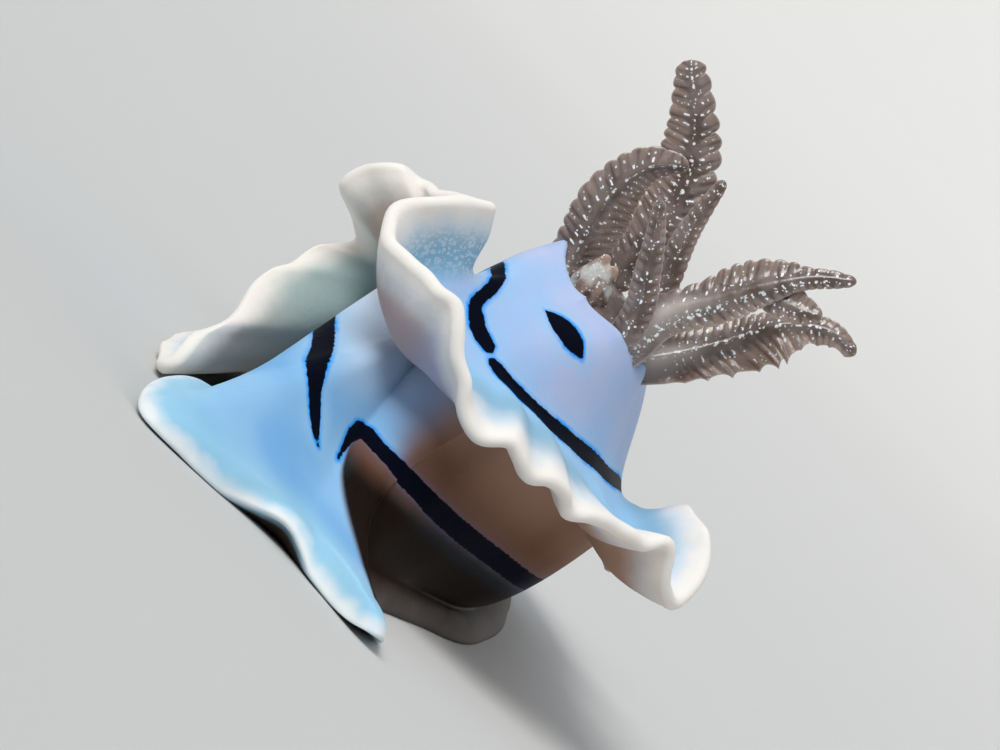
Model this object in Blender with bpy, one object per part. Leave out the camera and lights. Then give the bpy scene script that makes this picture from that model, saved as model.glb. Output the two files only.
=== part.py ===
"""A chromodorid sea slug crawling on a flat floor, life size, in metres, with +Z up.

+X runs from tail to head and +Y to the animal's left. The origin is on the floor, under the gills. The
soft body is one surface round the animal: from the midline of the back out to the frilled rim of the
mantle, back underneath it to the flank, down to the edge of the foot and along the flat sole. The mantle
and the body under it are two closed solids with a thin gap between them, and flat cuts part them into
pieces. The gills, the rhinophores and the mouth parts stand on flats cut into these pieces.
"""

import math

import bmesh
import bpy
import numpy as np
from mathutils import Matrix, Vector

MM = 0.001
GAP = 0.3

# Sizes and places below are in millimetres. A bearing is a direction round the body, in degrees:
# 0 at the head, 90 on the left, 180 at the tail and 270 on the right.
SPINE = ((-16.4, -1.9), (-11.0, 2.0), (-7.0, 2.1), (-2.4, 0.5), (2.0, 0.0), (12.0, -0.1), (23.0, 0.8))
BACK_HEIGHT = ((-6.0, 6.9), (-3.8, 8.5), (-2.4, 9.2), (2.4, 9.3), (5.0, 8.8), (9.0, 7.6), (14.0, 6.7),
               (18.0, 6.4), (21.0, 5.7), (24.0, 4.8))
SKIRT_HEIGHT = ((-6.5, 6.6), (-2.0, 6.6), (4.0, 6.2), (9.0, 5.4), (15.0, 5.1), (23.0, 4.5))
BODY_MIDDLE = 7.0

# The mantle's rim: bearing, then forward, left and up.
MANTLE_RIM = (
    (0, 24.2, 0.8, 4.1), (12, 23.6, 2.6, 3.7), (26, 22.0, 4.1, 4.1), (40, 19.8, 5.3, 3.6),
    (54, 17.0, 5.9, 2.6), (66, 13.6, 6.5, 1.2), (76, 10.2, 7.1, 0.6), (86, 6.4, 7.5, 0.45),
    (94, 1.0, 7.9, 0.4), (101, -3.6, 7.7, 0.35), (105, -6.4, 7.3, 0.35), (109, -6.0, 7.3, 1.4),
    (113, -4.4, 6.9, 2.4), (117, -2.9, 7.1, 3.3), (121, -1.8, 6.8, 4.35), (125, -1.2, 6.6, 5.3),
    (129, -1.2, 6.1, 6.2), (133, -1.8, 6.7, 6.7), (136, -2.4, 7.6, 7.0), (139, -2.8, 7.4, 7.8),
    (142, -3.0, 6.7, 8.6), (145, -3.2, 6.0, 8.7), (148, -3.8, 5.5, 8.9), (152, -4.6, 4.9, 9.4),
    (156, -5.6, 4.2, 9.8), (159, -6.5, 5.1, 9.0), (162, -7.2, 5.6, 8.0), (166, -7.9, 5.4, 7.2),
    (170, -8.5, 4.5, 7.2), (174, -8.9, 3.6, 7.4), (178, -9.1, 2.8, 7.4), (181, -9.2, 2.0, 6.9),
    (184, -9.2, 1.3, 6.2), (187, -9.1, 0.6, 5.8), (190, -9.0, -0.1, 5.5), (194, -8.7, -0.9, 5.9),
    (199, -8.2, -1.7, 5.5), (203, -7.7, -2.3, 5.9), (210, -6.6, -3.4, 5.6), (217, -5.3, -4.4, 6.0),
    (223, -4.4, -5.2, 6.2), (228, -3.6, -6.0, 6.4), (233, -2.6, -7.1, 5.4), (238, -1.4, -7.2, 6.3),
    (243, -0.4, -6.5, 7.1), (248, 0.8, -5.8, 7.2), (254, 2.8, -6.0, 6.2), (262, 5.6, -6.4, 4.9),
    (276, 9.4, -6.3, 3.9), (292, 13.6, -6.0, 4.1), (312, 18.4, -5.2, 3.6), (336, 22.6, -2.6, 4.3),
)

# The skirt between the back and the rim: bearing, how much its root is raised, and how far it bulges up.
SKIRT_SHAPE = (
    (0, 0.0, 0.35), (84, 0.0, 0.35), (97, 0.0, -0.45), (108, 0.0, -0.5), (118, 0.0, 0.2),
    (126, 0.0, 0.35), (140, 0.3, 0.2), (150, 0.9, 0.3), (157, 1.2, 0.1),
    (163, 0.9, -0.6), (169, 0.5, -0.9), (175, 0.2, -1.2), (182, 0.0, -0.6), (190, 0.0, 0.1),
    (205, 0.0, 0.2), (216, 0.0, -0.2), (224, 0.0, -0.7), (232, 0.0, -0.6), (242, 0.0, -0.9),
    (252, 0.0, -0.4), (264, 0.0, 0.35),
)

# The joint of the body and the mantle: bearing, and its share of the short joint that stays out of the fold.
SHORT_JOINT = (
    (0, 0.0), (120, 0.0), (134, 0.0), (142, 0.5), (150, 1.0), (160, 1.0), (170, 1.0), (178, 0.5),
    (186, 0.0), (200, 0.0), (262, 0.0), (276, 0.4), (300, 0.4), (314, 0.0), (330, 0.0),
)

# The foot's edge: bearing, then forward and left. It lies on the floor.
FOOT_EDGE = (
    (0, 22.6, 0.7), (22, 21.0, 4.0), (45, 17.0, 4.7), (75, 11.0, 4.7), (105, 3.0, 5.0),
    (122, -4.0, 5.6), (136, -10.0, 6.4), (147, -14.2, 6.6), (155, -15.9, 5.8), (162, -15.4, 4.0),
    (169, -14.6, 2.2), (175, -15.0, 0.2), (182, -16.2, -1.8), (189, -14.4, -2.1), (200, -10.4, -1.4),
    (216, -5.6, -2.4), (236, -0.8, -3.9), (262, 5.0, -4.6), (300, 13.6, -4.8), (328, 19.4, -4.2),
    (344, 22.0, -2.4),
)
SOLE_LINE = (17.0, 4.0)  # half length and middle of the line that the sole is joined along
SOLE_SPINE = ((-13.0, 1.5), (-8.0, 1.8), (-2.0, 1.0), (4.0, 0.2), (12.0, -0.1), (21.0, 0.3))
FOOT_THICKNESS = 0.6
FOOT_ROUNDING = (0.4, 0.45, 0.5)  # shares of it: the shelf's set-in, the edge's height, the sole's set-in
MANTLE_THICKNESS = ((0.0, 1.5), (1.6, 1.5), (2.6, 0.85), (4.0, 0.62))  # row of the surface, thickness

# Half lengths and half widths of the ovals round the spine that the surface passes through.
CORE_OVAL = (9.2, 0.0)
CREST_OVAL = (11.0, 2.3)
SKIRT_OVAL = (13.0, 4.0)
CREST_DROP = 0.15
OVAL_FULLNESS = 0.75
SKIRT_MIDDLE = 0.54  # share of the way from the skirt's root to the rim

# The bend of the flank: bearing, its shares of the way out and of the height, and its pull inward.
FLANK_SHAPE = (
    (0, 0.3, 0.3, 0.0), (40, 0.1, 0.2, 0.3), (60, 0.08, 0.16, 0.5), (92, 0.08, 0.16, 0.5),
    (106, 0.3, 0.3, 0.1), (120, 0.55, 0.5, 0.0), (140, 0.6, 0.55, 0.0), (150, 0.45, 0.43, 0.0),
    (160, 0.3, 0.32, 0.0), (170, 0.2, 0.25, 0.0), (180, 0.12, 0.2, 0.1), (190, 0.08, 0.16, 0.4),
    (205, 0.08, 0.16, 0.5), (300, 0.08, 0.16, 0.5), (325, 0.1, 0.2, 0.3),
)

RINGS = 104
RING_CROWDING = 0.5
NORMAL_EVENING = 6

# Rows of the surface: 0 is the midline, 1 the crest, 2 the skirt's root, 3 its middle and 4 the rim.
TOP_STEPS = (0.0, 0.55, 1.0, 1.45, 1.9, 2.3, 2.7, 3.1, 3.5, 3.85)
UNDER_STEPS = (0.0, 0.8, 1.4, 2.0, 2.5, 3.0, 3.4, 3.8)
JOINT_STEPS = (0.0, 0.8, 1.4, 2.0, 2.5)
SHORT_JOINT_STEPS = (0.0, 0.8, 1.2, 1.4, 1.6)
JOINT_ROOM = ((0.0, 0.35), (0.8, 0.6), (1.4, 0.8), (2.0, 0.45), (2.5, 0.32))  # step, room under the mantle
FINE_STEPS = np.linspace(0.0, 4.0, 81)
FLANK_STEPS = (0.25, 0.5, 0.75, 0.92)
SQUARE_STEPS = (1.3, 3.0)  # the thickness turns from upright to square to the surface between these

# Flat cuts, by their place forward, and the level cut that parts the foot from the body.
MANTLE_CUTS = (("mantle_rear", -40.0, 5.0), ("mantle_middle", 5.0, 15.0), ("mantle_front", 15.0, 40.0))
BODY_CUTS = (("body_rear", -8.5, 3.0), ("body_middle", 3.0, 16.0), ("head", 16.0, 40.0))
FOOT_CUTS = (("foot_rear", -8.5, 3.0), ("foot_middle", 3.0, 16.0), ("foot_front", 16.0, 40.0))
TAIL_CUT = ("tail", -40.0, -8.5)
FOOT_TOP = 1.0
FAR = 40.0
SHARP_ANGLE = 50

GILL_SEAT = 9.0
GILL_POCKET = (-0.1, -0.15, 2.65)  # forward, left and radius
# Each gill: root radius, longest leaflet to its right and its left, the bearing that its leaflets face, and
# its route up from its root: forward, left and up.
GILLS = {
    "gill_rear_inner": (0.29, 0.46, 0.46, 180,
                        ((-1.85, -0.75, 9.4), (-1.95, -0.5, 10.4), (-2.05, 0.05, 11.7), (-2.0, 0.95, 12.9))),
    "gill_rear_right": (0.30, 0.52, 0.52, 181,
                        ((-0.05, -1.2, 9.4), (-0.1, -0.95, 11.1), (-0.15, -0.4, 12.65), (-0.1, 0.0, 14.5))),
    "gill_right_rear": (0.34, 0.70, 0.95, 160,
                        ((-1.0, -1.45, 9.4), (-1.1, -1.65, 10.8), (-1.15, -2.6, 12.5), (-1.15, -3.4, 13.5),
                         (-1.1, -3.75, 14.3), (-1.05, -4.6, 15.1))),
    "gill_right_front": (0.34, 1.25, 0.70, 150,
                         ((0.5, -1.95, 9.4), (0.7, -2.4, 10.3), (0.9, -3.6, 11.9), (0.9, -4.7, 13.2),
                          (0.9, -6.1, 13.7))),
    "gill_front_right": (0.34, 0.70, 0.70, 150,
                         ((1.35, -1.2, 9.4), (1.9, -1.7, 10.8), (2.5, -2.4, 12.3), (2.9, -3.0, 13.6))),
    "gill_front": (0.36, 0.90, 1.10, 180,
                   ((1.5, 0.35, 9.4), (1.9, 0.5, 11.7), (2.1, 0.75, 13.6), (2.0, 1.35, 14.7),
                    (1.7, 3.0, 16.2))),
    "gill_front_left": (0.32, 0.60, 0.60, 200,
                        ((0.95, 1.6, 9.45), (1.8, 2.05, 10.5), (2.95, 2.25, 11.6), (3.9, 2.15, 12.6))),
    "gill_left": (0.36, 0.80, 1.0, 205,
                  ((-0.15, 1.65, 9.4), (-0.3, 2.0, 10.9), (-0.4, 2.1, 12.0), (-0.4, 1.75, 13.2),
                   (-0.4, 0.95, 14.05))),
}
GILL_BRANCHES = {"gill_right_rear": ((-1.15, -3.3, 13.4), (-1.1, -4.0, 13.3), (-1.05, -4.7, 13.65))}
BRANCH_LEAFLET = 0.5
GILL_STATIONS = 9
GILL_TIP_RADIUS = 0.17
LEAFLET_SPACING = 0.82
LEAFLET_ENDS = (0.14, 0.97)  # the share of the stem that carries leaflets
LEAFLET_RADII = (0.27, 0.12)
LEAFLET_WIDENING = 1.5  # along the stem
LEAFLET_SIDES = 4
SHORTEST_LEAFLET = 0.36
LEAFLET_SWEEP = 0.45  # lean toward the gill's tip
LEAFLET_CUPPING = 0.3  # lean toward the side that the leaflets face
LEAFLET_STAGGER = 0.12  # half the offset along the stem between a left and a right leaflet
ROUTE_POINTS = 60
TUBE_ROUNDNESS = 1
TURNED_SIDES = 14
WELL_SIDES = 24

PAPILLA_PLACE = (-0.95, 0.6)
PAPILLA_PROFILE = ((0.0, 0.0), (0.42, 0.0), (0.46, 0.5), (0.55, 0.95), (0.4, 1.1), (0.2, 0.85), (0.0, 0.6))

RHINOPHORE_PLACE = (17.3, 1.3)
RHINOPHORE_SEAT = 5.75
RHINOPHORE_POCKET = 0.8
RHINOPHORE_LENGTH = 4.3
RHINOPHORE_STALK = 1.25
RHINOPHORE_RADIUS = 0.62
RHINOPHORE_RIDGES = 7
RHINOPHORE_GROOVE = 0.14
RHINOPHORE_LEAN = (14, 3)  # forward and outward
RHINOPHORE_SLOPE = 22  # slope of the ridges

MOUTH_WALL = 20.4
MOUTH_PLACE = (0.6, 2.05)  # left and up
MOUTH_POCKET = (2.6, 1.2)  # half width and half height
SNOUT_PROFILE = ((0.0, 0.0), (0.8, 0.0), (0.86, 0.9), (0.9, 1.6), (0.86, 2.0), (0.66, 2.25), (0.36, 2.2),
                 (0.0, 1.7))
MOUTH_SLIT = 0.35
FEELER_SPREAD = 1.75
FEELER_LENGTH = 2.4
FEELER_RADII = (0.42, 0.18)
FEELER_SPLAY = 20
FEELER_DROOP = 0.25
FEELER_STATIONS = 6


def curve_through(knots, values, at, period=None):
    """Values at some places of a smooth curve through the given values, which lie at knots."""
    knots = np.asarray(knots, float)
    values = np.asarray(values, float).reshape(len(knots), -1)
    if period:
        knots = np.concatenate([knots[-2:] - period, knots, knots[:2] + period])
        values = np.concatenate([values[-2:], values, values[:2]])
        at = np.mod(at, period)
    slopes = np.gradient(values, knots, axis=0)
    at = np.clip(at, knots[0], knots[-1])
    low = np.clip(np.searchsorted(knots, at) - 1, 0, len(knots) - 2)
    width = (knots[low + 1] - knots[low])[:, None]
    t = (at - knots[low])[:, None] / width
    start, end = values[low], values[low + 1]
    leave = (t**3 - 2 * t**2 + t) * width * slopes[low]
    arrive = (t**3 - t**2) * width * slopes[low + 1]
    return (2 * t**3 - 3 * t**2 + 1) * start + leave + (3 * t**2 - 2 * t**3) * end + arrive


def along_body(table, forward):
    """Values from a table of places forward and values."""
    knots, values = zip(*table)
    return curve_through(knots, values, np.asarray(forward, float))[:, 0]


def round_body(table, bearings):
    """Values from a table whose rows start with a bearing."""
    rows = np.array(table)
    return curve_through(rows[:, 0], rows[:, 1:], bearings, 360)


def ring_bearings():
    """Bearings round the body, the same on both sides, closer together at the tail."""
    turn = np.arange(RINGS) / RINGS * 2 * math.pi
    return np.degrees(turn + RING_CROWDING * np.sin(turn))


def oval(size, bearings):
    """Forward and left of points on an oval round the spine."""
    half_length, half_width = size
    angle = np.radians(bearings)
    forward = BODY_MIDDLE + half_length * np.cos(angle)
    across = half_width * np.sign(np.sin(angle)) * np.abs(np.sin(angle)) ** OVAL_FULLNESS
    return forward, along_body(SPINE, forward) + across


def on_oval(size, bearings, profile, drop=0.0):
    """Points of an oval round the spine, at the height that a profile gives."""
    forward, left = oval(size, bearings)
    return np.stack([forward, left, along_body(profile, forward) - drop], axis=1)


def mantle_top(bearings, steps):
    """The upper surface of the mantle, in rows from the midline of the back to the rim."""
    lift, bulge = round_body(SKIRT_SHAPE, bearings).T
    core = on_oval(CORE_OVAL, bearings, BACK_HEIGHT)
    crest = on_oval(CREST_OVAL, bearings, BACK_HEIGHT, CREST_DROP)
    root = on_oval(SKIRT_OVAL, bearings, SKIRT_HEIGHT)
    root[:, 2] += lift
    rim = round_body(MANTLE_RIM, bearings)
    middle = root * (1 - SKIRT_MIDDLE) + rim * SKIRT_MIDDLE
    middle[:, 2] += bulge
    rails = np.stack([core, crest, root, middle, rim])
    rows = curve_through(range(len(rails)), rails.reshape(len(rails), -1), np.asarray(steps, float))
    return rows.reshape(len(steps), len(bearings), 3)


def outward(grid, steps):
    """The way out of the mantle at each point: up on the back and square to the skirt, evened out."""
    around = np.roll(grid, -1, axis=1) - np.roll(grid, 1, axis=1)
    across = np.gradient(grid, axis=0)
    normals = np.cross(across, around)
    for _ in range(NORMAL_EVENING):
        normals = normals / np.maximum(np.linalg.norm(normals, axis=2, keepdims=True), 1e-9)
        normals = normals * 2 + np.roll(normals, 1, axis=1) + np.roll(normals, -1, axis=1)
    normals = normals / np.maximum(np.linalg.norm(normals, axis=2, keepdims=True), 1e-9)
    square = np.interp(steps, SQUARE_STEPS, (0.0, 1.0))[:, None, None]
    normals = normals * square + np.array([0.0, 0.0, 1.0]) * (1 - square)
    return normals / np.linalg.norm(normals, axis=2, keepdims=True)


def mantle_depth(steps):
    """Thickness of the mantle from the back, through the skirt, to the rim."""
    return np.interp(steps, *zip(*MANTLE_THICKNESS))[:, None, None]


def sampled(grid, steps):
    """Rows of a finely stepped grid at some steps, which may differ with the bearing."""
    spots = np.asarray(steps, float) / FINE_STEPS[1]
    if spots.ndim == 1:
        spots = np.repeat(spots[:, None], grid.shape[1], axis=1)
    low = np.clip(np.floor(spots).astype(int), 0, len(grid) - 2)
    share = (spots - low)[:, :, None]
    column = np.arange(grid.shape[1])
    return grid[low, column] * (1 - share) + grid[low + 1, column] * share


def mantle_rows():
    """Rows of the mantle solid: over the back, round the rim and back along its underside."""
    top = mantle_top(ring_bearings(), FINE_STEPS)
    way = outward(top, FINE_STEPS)
    under = top - way * mantle_depth(FINE_STEPS)
    rim = (top[-1] + under[-1]) / 2
    return np.concatenate([sampled(top, TOP_STEPS), rim[None], sampled(under, UNDER_STEPS)[::-1]])


def flank_rows(joint, foot, inward, bearings):
    """Rows down the flank, from its joint with the mantle to the top of the foot's edge."""
    out, rise, pull = round_body(FLANK_SHAPE, bearings).T[:, :, None]
    bend = joint * (1 - out) + foot * out
    bend[:, 2:] = joint[:, 2:] * rise + foot[:, 2:] * (1 - rise)
    bend[:, :2] += inward * pull
    steps = np.array(FLANK_STEPS)[:, None, None]
    return joint * (1 - steps) ** 2 + bend * 2 * steps * (1 - steps) + foot * steps**2


def at_height(points, height):
    """Points of the plan at one height."""
    return np.column_stack([points, np.full(len(points), height)])


def joint_rows(bearings):
    """Rows of the body's top, under the mantle, that reach less far out under the raised fold."""
    top = mantle_top(bearings, FINE_STEPS)
    room = np.interp(FINE_STEPS, *zip(*JOINT_ROOM))[:, None, None]
    under = top - outward(top, FINE_STEPS) * (mantle_depth(FINE_STEPS) + room)
    share = round_body(SHORT_JOINT, bearings)[:, 0]
    steps = np.outer(JOINT_STEPS, 1 - share) + np.outer(SHORT_JOINT_STEPS, share)
    return sampled(under, steps)


def sole_middle(bearings):
    """The line along the middle of the sole that its two halves meet on."""
    half_length, middle = SOLE_LINE
    forward = middle + half_length * np.cos(np.radians(bearings))
    return np.column_stack([forward, along_body(SOLE_SPINE, forward), np.zeros(len(forward))])


def body_rows():
    """Rows of the solid under the mantle: its top, the flanks, the foot's edge and the sole."""
    bearings = ring_bearings()
    top = joint_rows(bearings)
    edge = round_body(FOOT_EDGE, bearings)
    middle = sole_middle(bearings)
    inward = middle[:, :2] - edge
    inward /= np.linalg.norm(inward, axis=1, keepdims=True)
    over, height, under = np.array(FOOT_ROUNDING) * FOOT_THICKNESS
    shelf = at_height(edge + inward * over, FOOT_THICKNESS)
    lip = at_height(edge, height)
    sole = at_height(edge + inward * under, 0.0)
    flank = flank_rows(top[-1], shelf, inward, bearings)
    return np.concatenate([top, flank, [shelf, lip, sole, middle]])


def mesh_from(shape, name):
    """A mesh from a bmesh whose faces are made triangles that point out."""
    bmesh.ops.triangulate(shape, faces=shape.faces)
    bmesh.ops.recalc_face_normals(shape, faces=shape.faces)
    mesh = bpy.data.meshes.new(name)
    shape.to_mesh(mesh)
    shape.free()
    return mesh


def loft(name, rows):
    """A closed mesh through rows of points round the body; its first and last rows fold onto the midline."""
    shape = bmesh.new()
    rings = [[shape.verts.new(Vector(point) * MM) for point in row] for row in rows]
    for upper, lower in zip(rings, rings[1:]):
        for i in range(RINGS):
            j = (i + 1) % RINGS
            shape.faces.new((upper[i], lower[i], lower[j], upper[j]))
    bmesh.ops.remove_doubles(shape, verts=shape.verts, dist=0.02 * MM)
    bmesh.ops.dissolve_degenerate(shape, edges=shape.edges, dist=0.01 * MM)
    return mesh_from(shape, name)


def turned(name, profile, steps, place):
    """A profile of radii and heights turned round the Z axis, then set in place."""
    shape = bmesh.new()
    points = [shape.verts.new(Vector((radius, 0.0, height)) * MM) for radius, height in profile]
    edges = [shape.edges.new(pair) for pair in zip(points, points[1:])]
    bmesh.ops.spin(shape, geom=points + edges, cent=(0, 0, 0), axis=(0, 0, 1), steps=steps,
                   angle=2 * math.pi, use_merge=True)
    bmesh.ops.remove_doubles(shape, verts=shape.verts, dist=0.001 * MM)
    bmesh.ops.transform(shape, matrix=place, verts=shape.verts)
    return mesh_from(shape, name)


def tube(name, points, radii):
    """A tube with closed ends through points, in millimetres, with a radius at each."""
    curve = bpy.data.curves.new(name, "CURVE")
    curve.dimensions = "3D"
    curve.bevel_depth = MM
    curve.bevel_resolution = TUBE_ROUNDNESS
    curve.use_fill_caps = True
    spline = curve.splines.new("POLY")
    spline.points.add(len(points) - 1)
    for spot, point, radius in zip(spline.points, points, radii):
        spot.co = (*(Vector(point) * MM), 1.0)
        spot.radius = radius
    guide = bpy.data.objects.new(name + "_guide", curve)
    bpy.context.scene.collection.objects.link(guide)
    graph = bpy.context.evaluated_depsgraph_get()
    drawn = bpy.data.meshes.new_from_object(guide.evaluated_get(graph))
    shape = bmesh.new()
    shape.from_mesh(drawn)
    bpy.data.objects.remove(guide)
    bmesh.ops.remove_doubles(shape, verts=shape.verts, dist=0.001 * MM)
    return mesh_from(shape, name)


def box_mesh(name, low, high):
    """A box between two corners, in millimetres."""
    shape = bmesh.new()
    bmesh.ops.create_cube(shape, size=1.0)
    low, high = Vector(low), Vector(high)
    bmesh.ops.scale(shape, vec=(high - low) * MM, verts=shape.verts)
    bmesh.ops.translate(shape, vec=(high + low) / 2 * MM, verts=shape.verts)
    return mesh_from(shape, name)


def well_mesh(name, centre, radius, floor):
    """An upright cylinder that cuts a pocket with a flat floor."""
    shape = bmesh.new()
    bmesh.ops.create_cone(shape, cap_ends=True, segments=WELL_SIDES, radius1=radius * MM,
                          radius2=radius * MM, depth=FAR * MM)
    bmesh.ops.translate(shape, vec=Vector((*centre, floor + FAR / 2)) * MM, verts=shape.verts)
    return mesh_from(shape, name)


def material(name, colour, roughness):
    """A plain finish."""
    made = bpy.data.materials.new(name)
    made.use_nodes = True
    shader = made.node_tree.nodes["Principled BSDF"]
    shader.inputs["Base Color"].default_value = (*colour, 1.0)
    shader.inputs["Roughness"].default_value = roughness
    return made


def add_part(name, mesh, finish, parts):
    """A named piece of the animal, shaded smooth."""
    made = bpy.data.objects.new(name, mesh)
    parts.objects.link(made)
    mesh.materials.append(finish)
    mesh.shade_smooth()
    mesh.set_sharp_from_angle(angle=math.radians(SHARP_ANGLE))
    return made


def add_cutter(name, mesh, cutters):
    """A helper that a piece is cut by."""
    made = bpy.data.objects.new(name, mesh)
    cutters.objects.link(made)
    made.hide_render = True
    made.display_type = "WIRE"
    return made


def boolean(piece, cutter, operation):
    """One Boolean with the exact solver."""
    step = piece.modifiers.new(operation.lower(), "BOOLEAN")
    step.operation = operation
    step.object = cutter
    step.solver = "EXACT"


def settle(piece):
    """Applies a piece's modifiers and keeps only its largest closed surface."""
    bpy.context.view_layer.update()
    graph = bpy.context.evaluated_depsgraph_get()
    shape = bmesh.new()
    shape.from_mesh(bpy.data.meshes.new_from_object(piece.evaluated_get(graph)))
    piece.modifiers.clear()
    bmesh.ops.remove_doubles(shape, verts=shape.verts, dist=0.002 * MM)
    bmesh.ops.dissolve_degenerate(shape, edges=shape.edges, dist=0.001 * MM)
    bmesh.ops.triangulate(shape, faces=shape.faces)
    loose = set(shape.verts)
    islands = []
    while loose:
        island = set()
        ahead = [loose.pop()]
        while ahead:
            vertex = ahead.pop()
            island.add(vertex)
            near = {edge.other_vert(vertex) for edge in vertex.link_edges} & loose
            loose -= near
            ahead.extend(near)
        islands.append(island)
    for island in sorted(islands, key=len)[:-1]:
        bmesh.ops.delete(shape, geom=list(island), context="VERTS")
    shape.to_mesh(piece.data)
    shape.free()


def cut_out(whole, cuts, low, high, finish, parts, cutters):
    """The named pieces of a whole solid between flat cuts, with the gap between neighbours."""
    for name, rear, front in cuts:
        piece = add_part(name, whole.copy(), finish, parts)
        corners = (rear + GAP / 2, -FAR, low), (front - GAP / 2, FAR, high)
        boolean(piece, add_cutter(name + "_cut", box_mesh(name + "_cut", *corners), cutters), "INTERSECT")
        settle(piece)


def rhinophore_place(side):
    """Forward and left of a rhinophore's root."""
    forward, apart = RHINOPHORE_PLACE
    return forward, float(along_body(SPINE, [forward])[0]) + side * apart


def make_body(parts, cutters, skin, flank, sole):
    """The mantle, body, foot and tail."""
    cut_out(loft("mantle_whole", mantle_rows()), MANTLE_CUTS, -FAR, FAR, skin, parts, cutters)
    body = loft("body_whole", body_rows())
    cut_out(body, BODY_CUTS, FOOT_TOP + GAP / 2, FAR, flank, parts, cutters)
    cut_out(body, FOOT_CUTS, -FAR, FOOT_TOP - GAP / 2, sole, parts, cutters)
    cut_out(body, (TAIL_CUT,), -FAR, FAR, sole, parts, cutters)


def make_seats(parts, cutters):
    """Flats in the back and the head for the organs that grow from them."""
    wells = [("mantle_rear", "gill_seat", GILL_POCKET[:2], GILL_POCKET[2], GILL_SEAT)]
    for side in (1, -1):
        place = rhinophore_place(side)
        wells.append(("mantle_front", "rhinophore_seat", place, RHINOPHORE_POCKET, RHINOPHORE_SEAT))
    for piece, name, centre, radius, floor in wells:
        cutter = add_cutter(name, well_mesh(name, centre, radius, floor), cutters)
        boolean(parts.objects[piece], cutter, "DIFFERENCE")
    left, up = MOUTH_PLACE
    half_width, half_height = MOUTH_POCKET
    corners = (MOUTH_WALL, left - half_width, up - half_height), (FAR, left + half_width, up + half_height)
    cutter = add_cutter("mouth_seat", box_mesh("mouth_seat", *corners), cutters)
    boolean(parts.objects["head"], cutter, "DIFFERENCE")
    for name in ("mantle_rear", "mantle_front", "head"):
        settle(parts.objects[name])


def smooth_route(route, count):
    """Evenly spread points of a smooth curve through a route."""
    route = np.array(route)
    knots = np.concatenate([[0.0], np.cumsum(np.linalg.norm(np.diff(route, axis=0), axis=1))])
    return curve_through(knots, route, np.linspace(0.0, knots[-1], count))


def upright_at(forward, left, up):
    """The place of a shape that stands upright at a point."""
    return Matrix.Translation(Vector((forward, left, up)) * MM)


def leaflet(name, root, way, along, length):
    """A flattened tapering leaflet from its root, with its wide side along the stem."""
    way = Vector(way).normalized()
    wide = Vector(along)
    wide = (wide - way * wide.dot(way)).normalized()
    turn = Matrix((wide, way.cross(wide), way)).transposed().to_4x4()
    stretch = Matrix.Diagonal((LEAFLET_WIDENING, 1.0, 1.0, 1.0))
    place = upright_at(*root) @ turn @ upright_at(0.0, 0.0, length / 2) @ stretch
    shape = bmesh.new()
    root_radius, tip_radius = LEAFLET_RADII
    bmesh.ops.create_cone(shape, cap_ends=True, segments=LEAFLET_SIDES, radius1=root_radius * MM,
                          radius2=tip_radius * MM, depth=length * MM, matrix=place)
    return mesh_from(shape, name)


def leaflets(name, route, right, left, facing):
    """The leaflets in two rows along a gill's route, as closed meshes."""
    face = np.array([math.cos(math.radians(facing)), math.sin(math.radians(facing)), 0.0])
    line = smooth_route(route, ROUTE_POINTS)
    reach = np.linalg.norm(np.diff(line, axis=0), axis=1).sum()
    start, end = LEAFLET_ENDS
    count = int(reach * (end - start) / LEAFLET_SPACING) + 1
    made = []
    for k, share in enumerate(np.linspace(start, end, count)):
        spot = int(share * (ROUTE_POINTS - 2))
        along = line[spot + 1] - line[spot]
        along /= np.linalg.norm(along)
        across = np.cross(along, face)
        across /= np.linalg.norm(across)
        fullness = math.sin(math.pi * (0.15 + 0.8 * share)) ** 0.6
        for side, longest in ((1, right), (-1, left)):
            way = side * across + along * LEAFLET_SWEEP + face * LEAFLET_CUPPING
            size = max(longest * fullness * (1 + 0.1 * math.sin(2.4 * k + side)), SHORTEST_LEAFLET)
            root = line[spot] + along * LEAFLET_STAGGER * side
            made.append(leaflet(f"{name}_leaflet", root, way, along, size))
    return made


def make_gills(parts, finish):
    """The ring of gills, each a tapered stem joined with its leaflets."""
    for name, (radius, right, left, facing, route) in GILLS.items():
        stem = np.linspace(radius, GILL_TIP_RADIUS, GILL_STATIONS)
        gill = add_part(name, tube(name, smooth_route(route, GILL_STATIONS), stem), finish, parts)
        pieces = leaflets(name, route, right, left, facing)
        branch = GILL_BRANCHES.get(name)
        if branch:
            pieces.append(tube(name, smooth_route(branch, 5), np.linspace(radius * 0.7, GILL_TIP_RADIUS, 5)))
            pieces.extend(leaflets(name, branch, BRANCH_LEAFLET, BRANCH_LEAFLET, facing))
        joined = bpy.data.collections.new(name + "_leaflets")
        for mesh in pieces:
            joined.objects.link(bpy.data.objects.new(mesh.name, mesh))
        step = gill.modifiers.new("union", "BOOLEAN")
        step.operation = "UNION"
        step.solver = "EXACT"
        step.operand_type = "COLLECTION"
        step.collection = joined
        settle(gill)
        for piece in list(joined.objects):
            bpy.data.objects.remove(piece)
        bpy.data.collections.remove(joined)


def make_papilla(parts, finish):
    """The short open tube inside the ring of gills."""
    place = upright_at(*PAPILLA_PLACE, GILL_SEAT + GAP)
    add_part("anal_papilla", turned("anal_papilla", PAPILLA_PROFILE, TURNED_SIDES, place), finish, parts)


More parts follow.
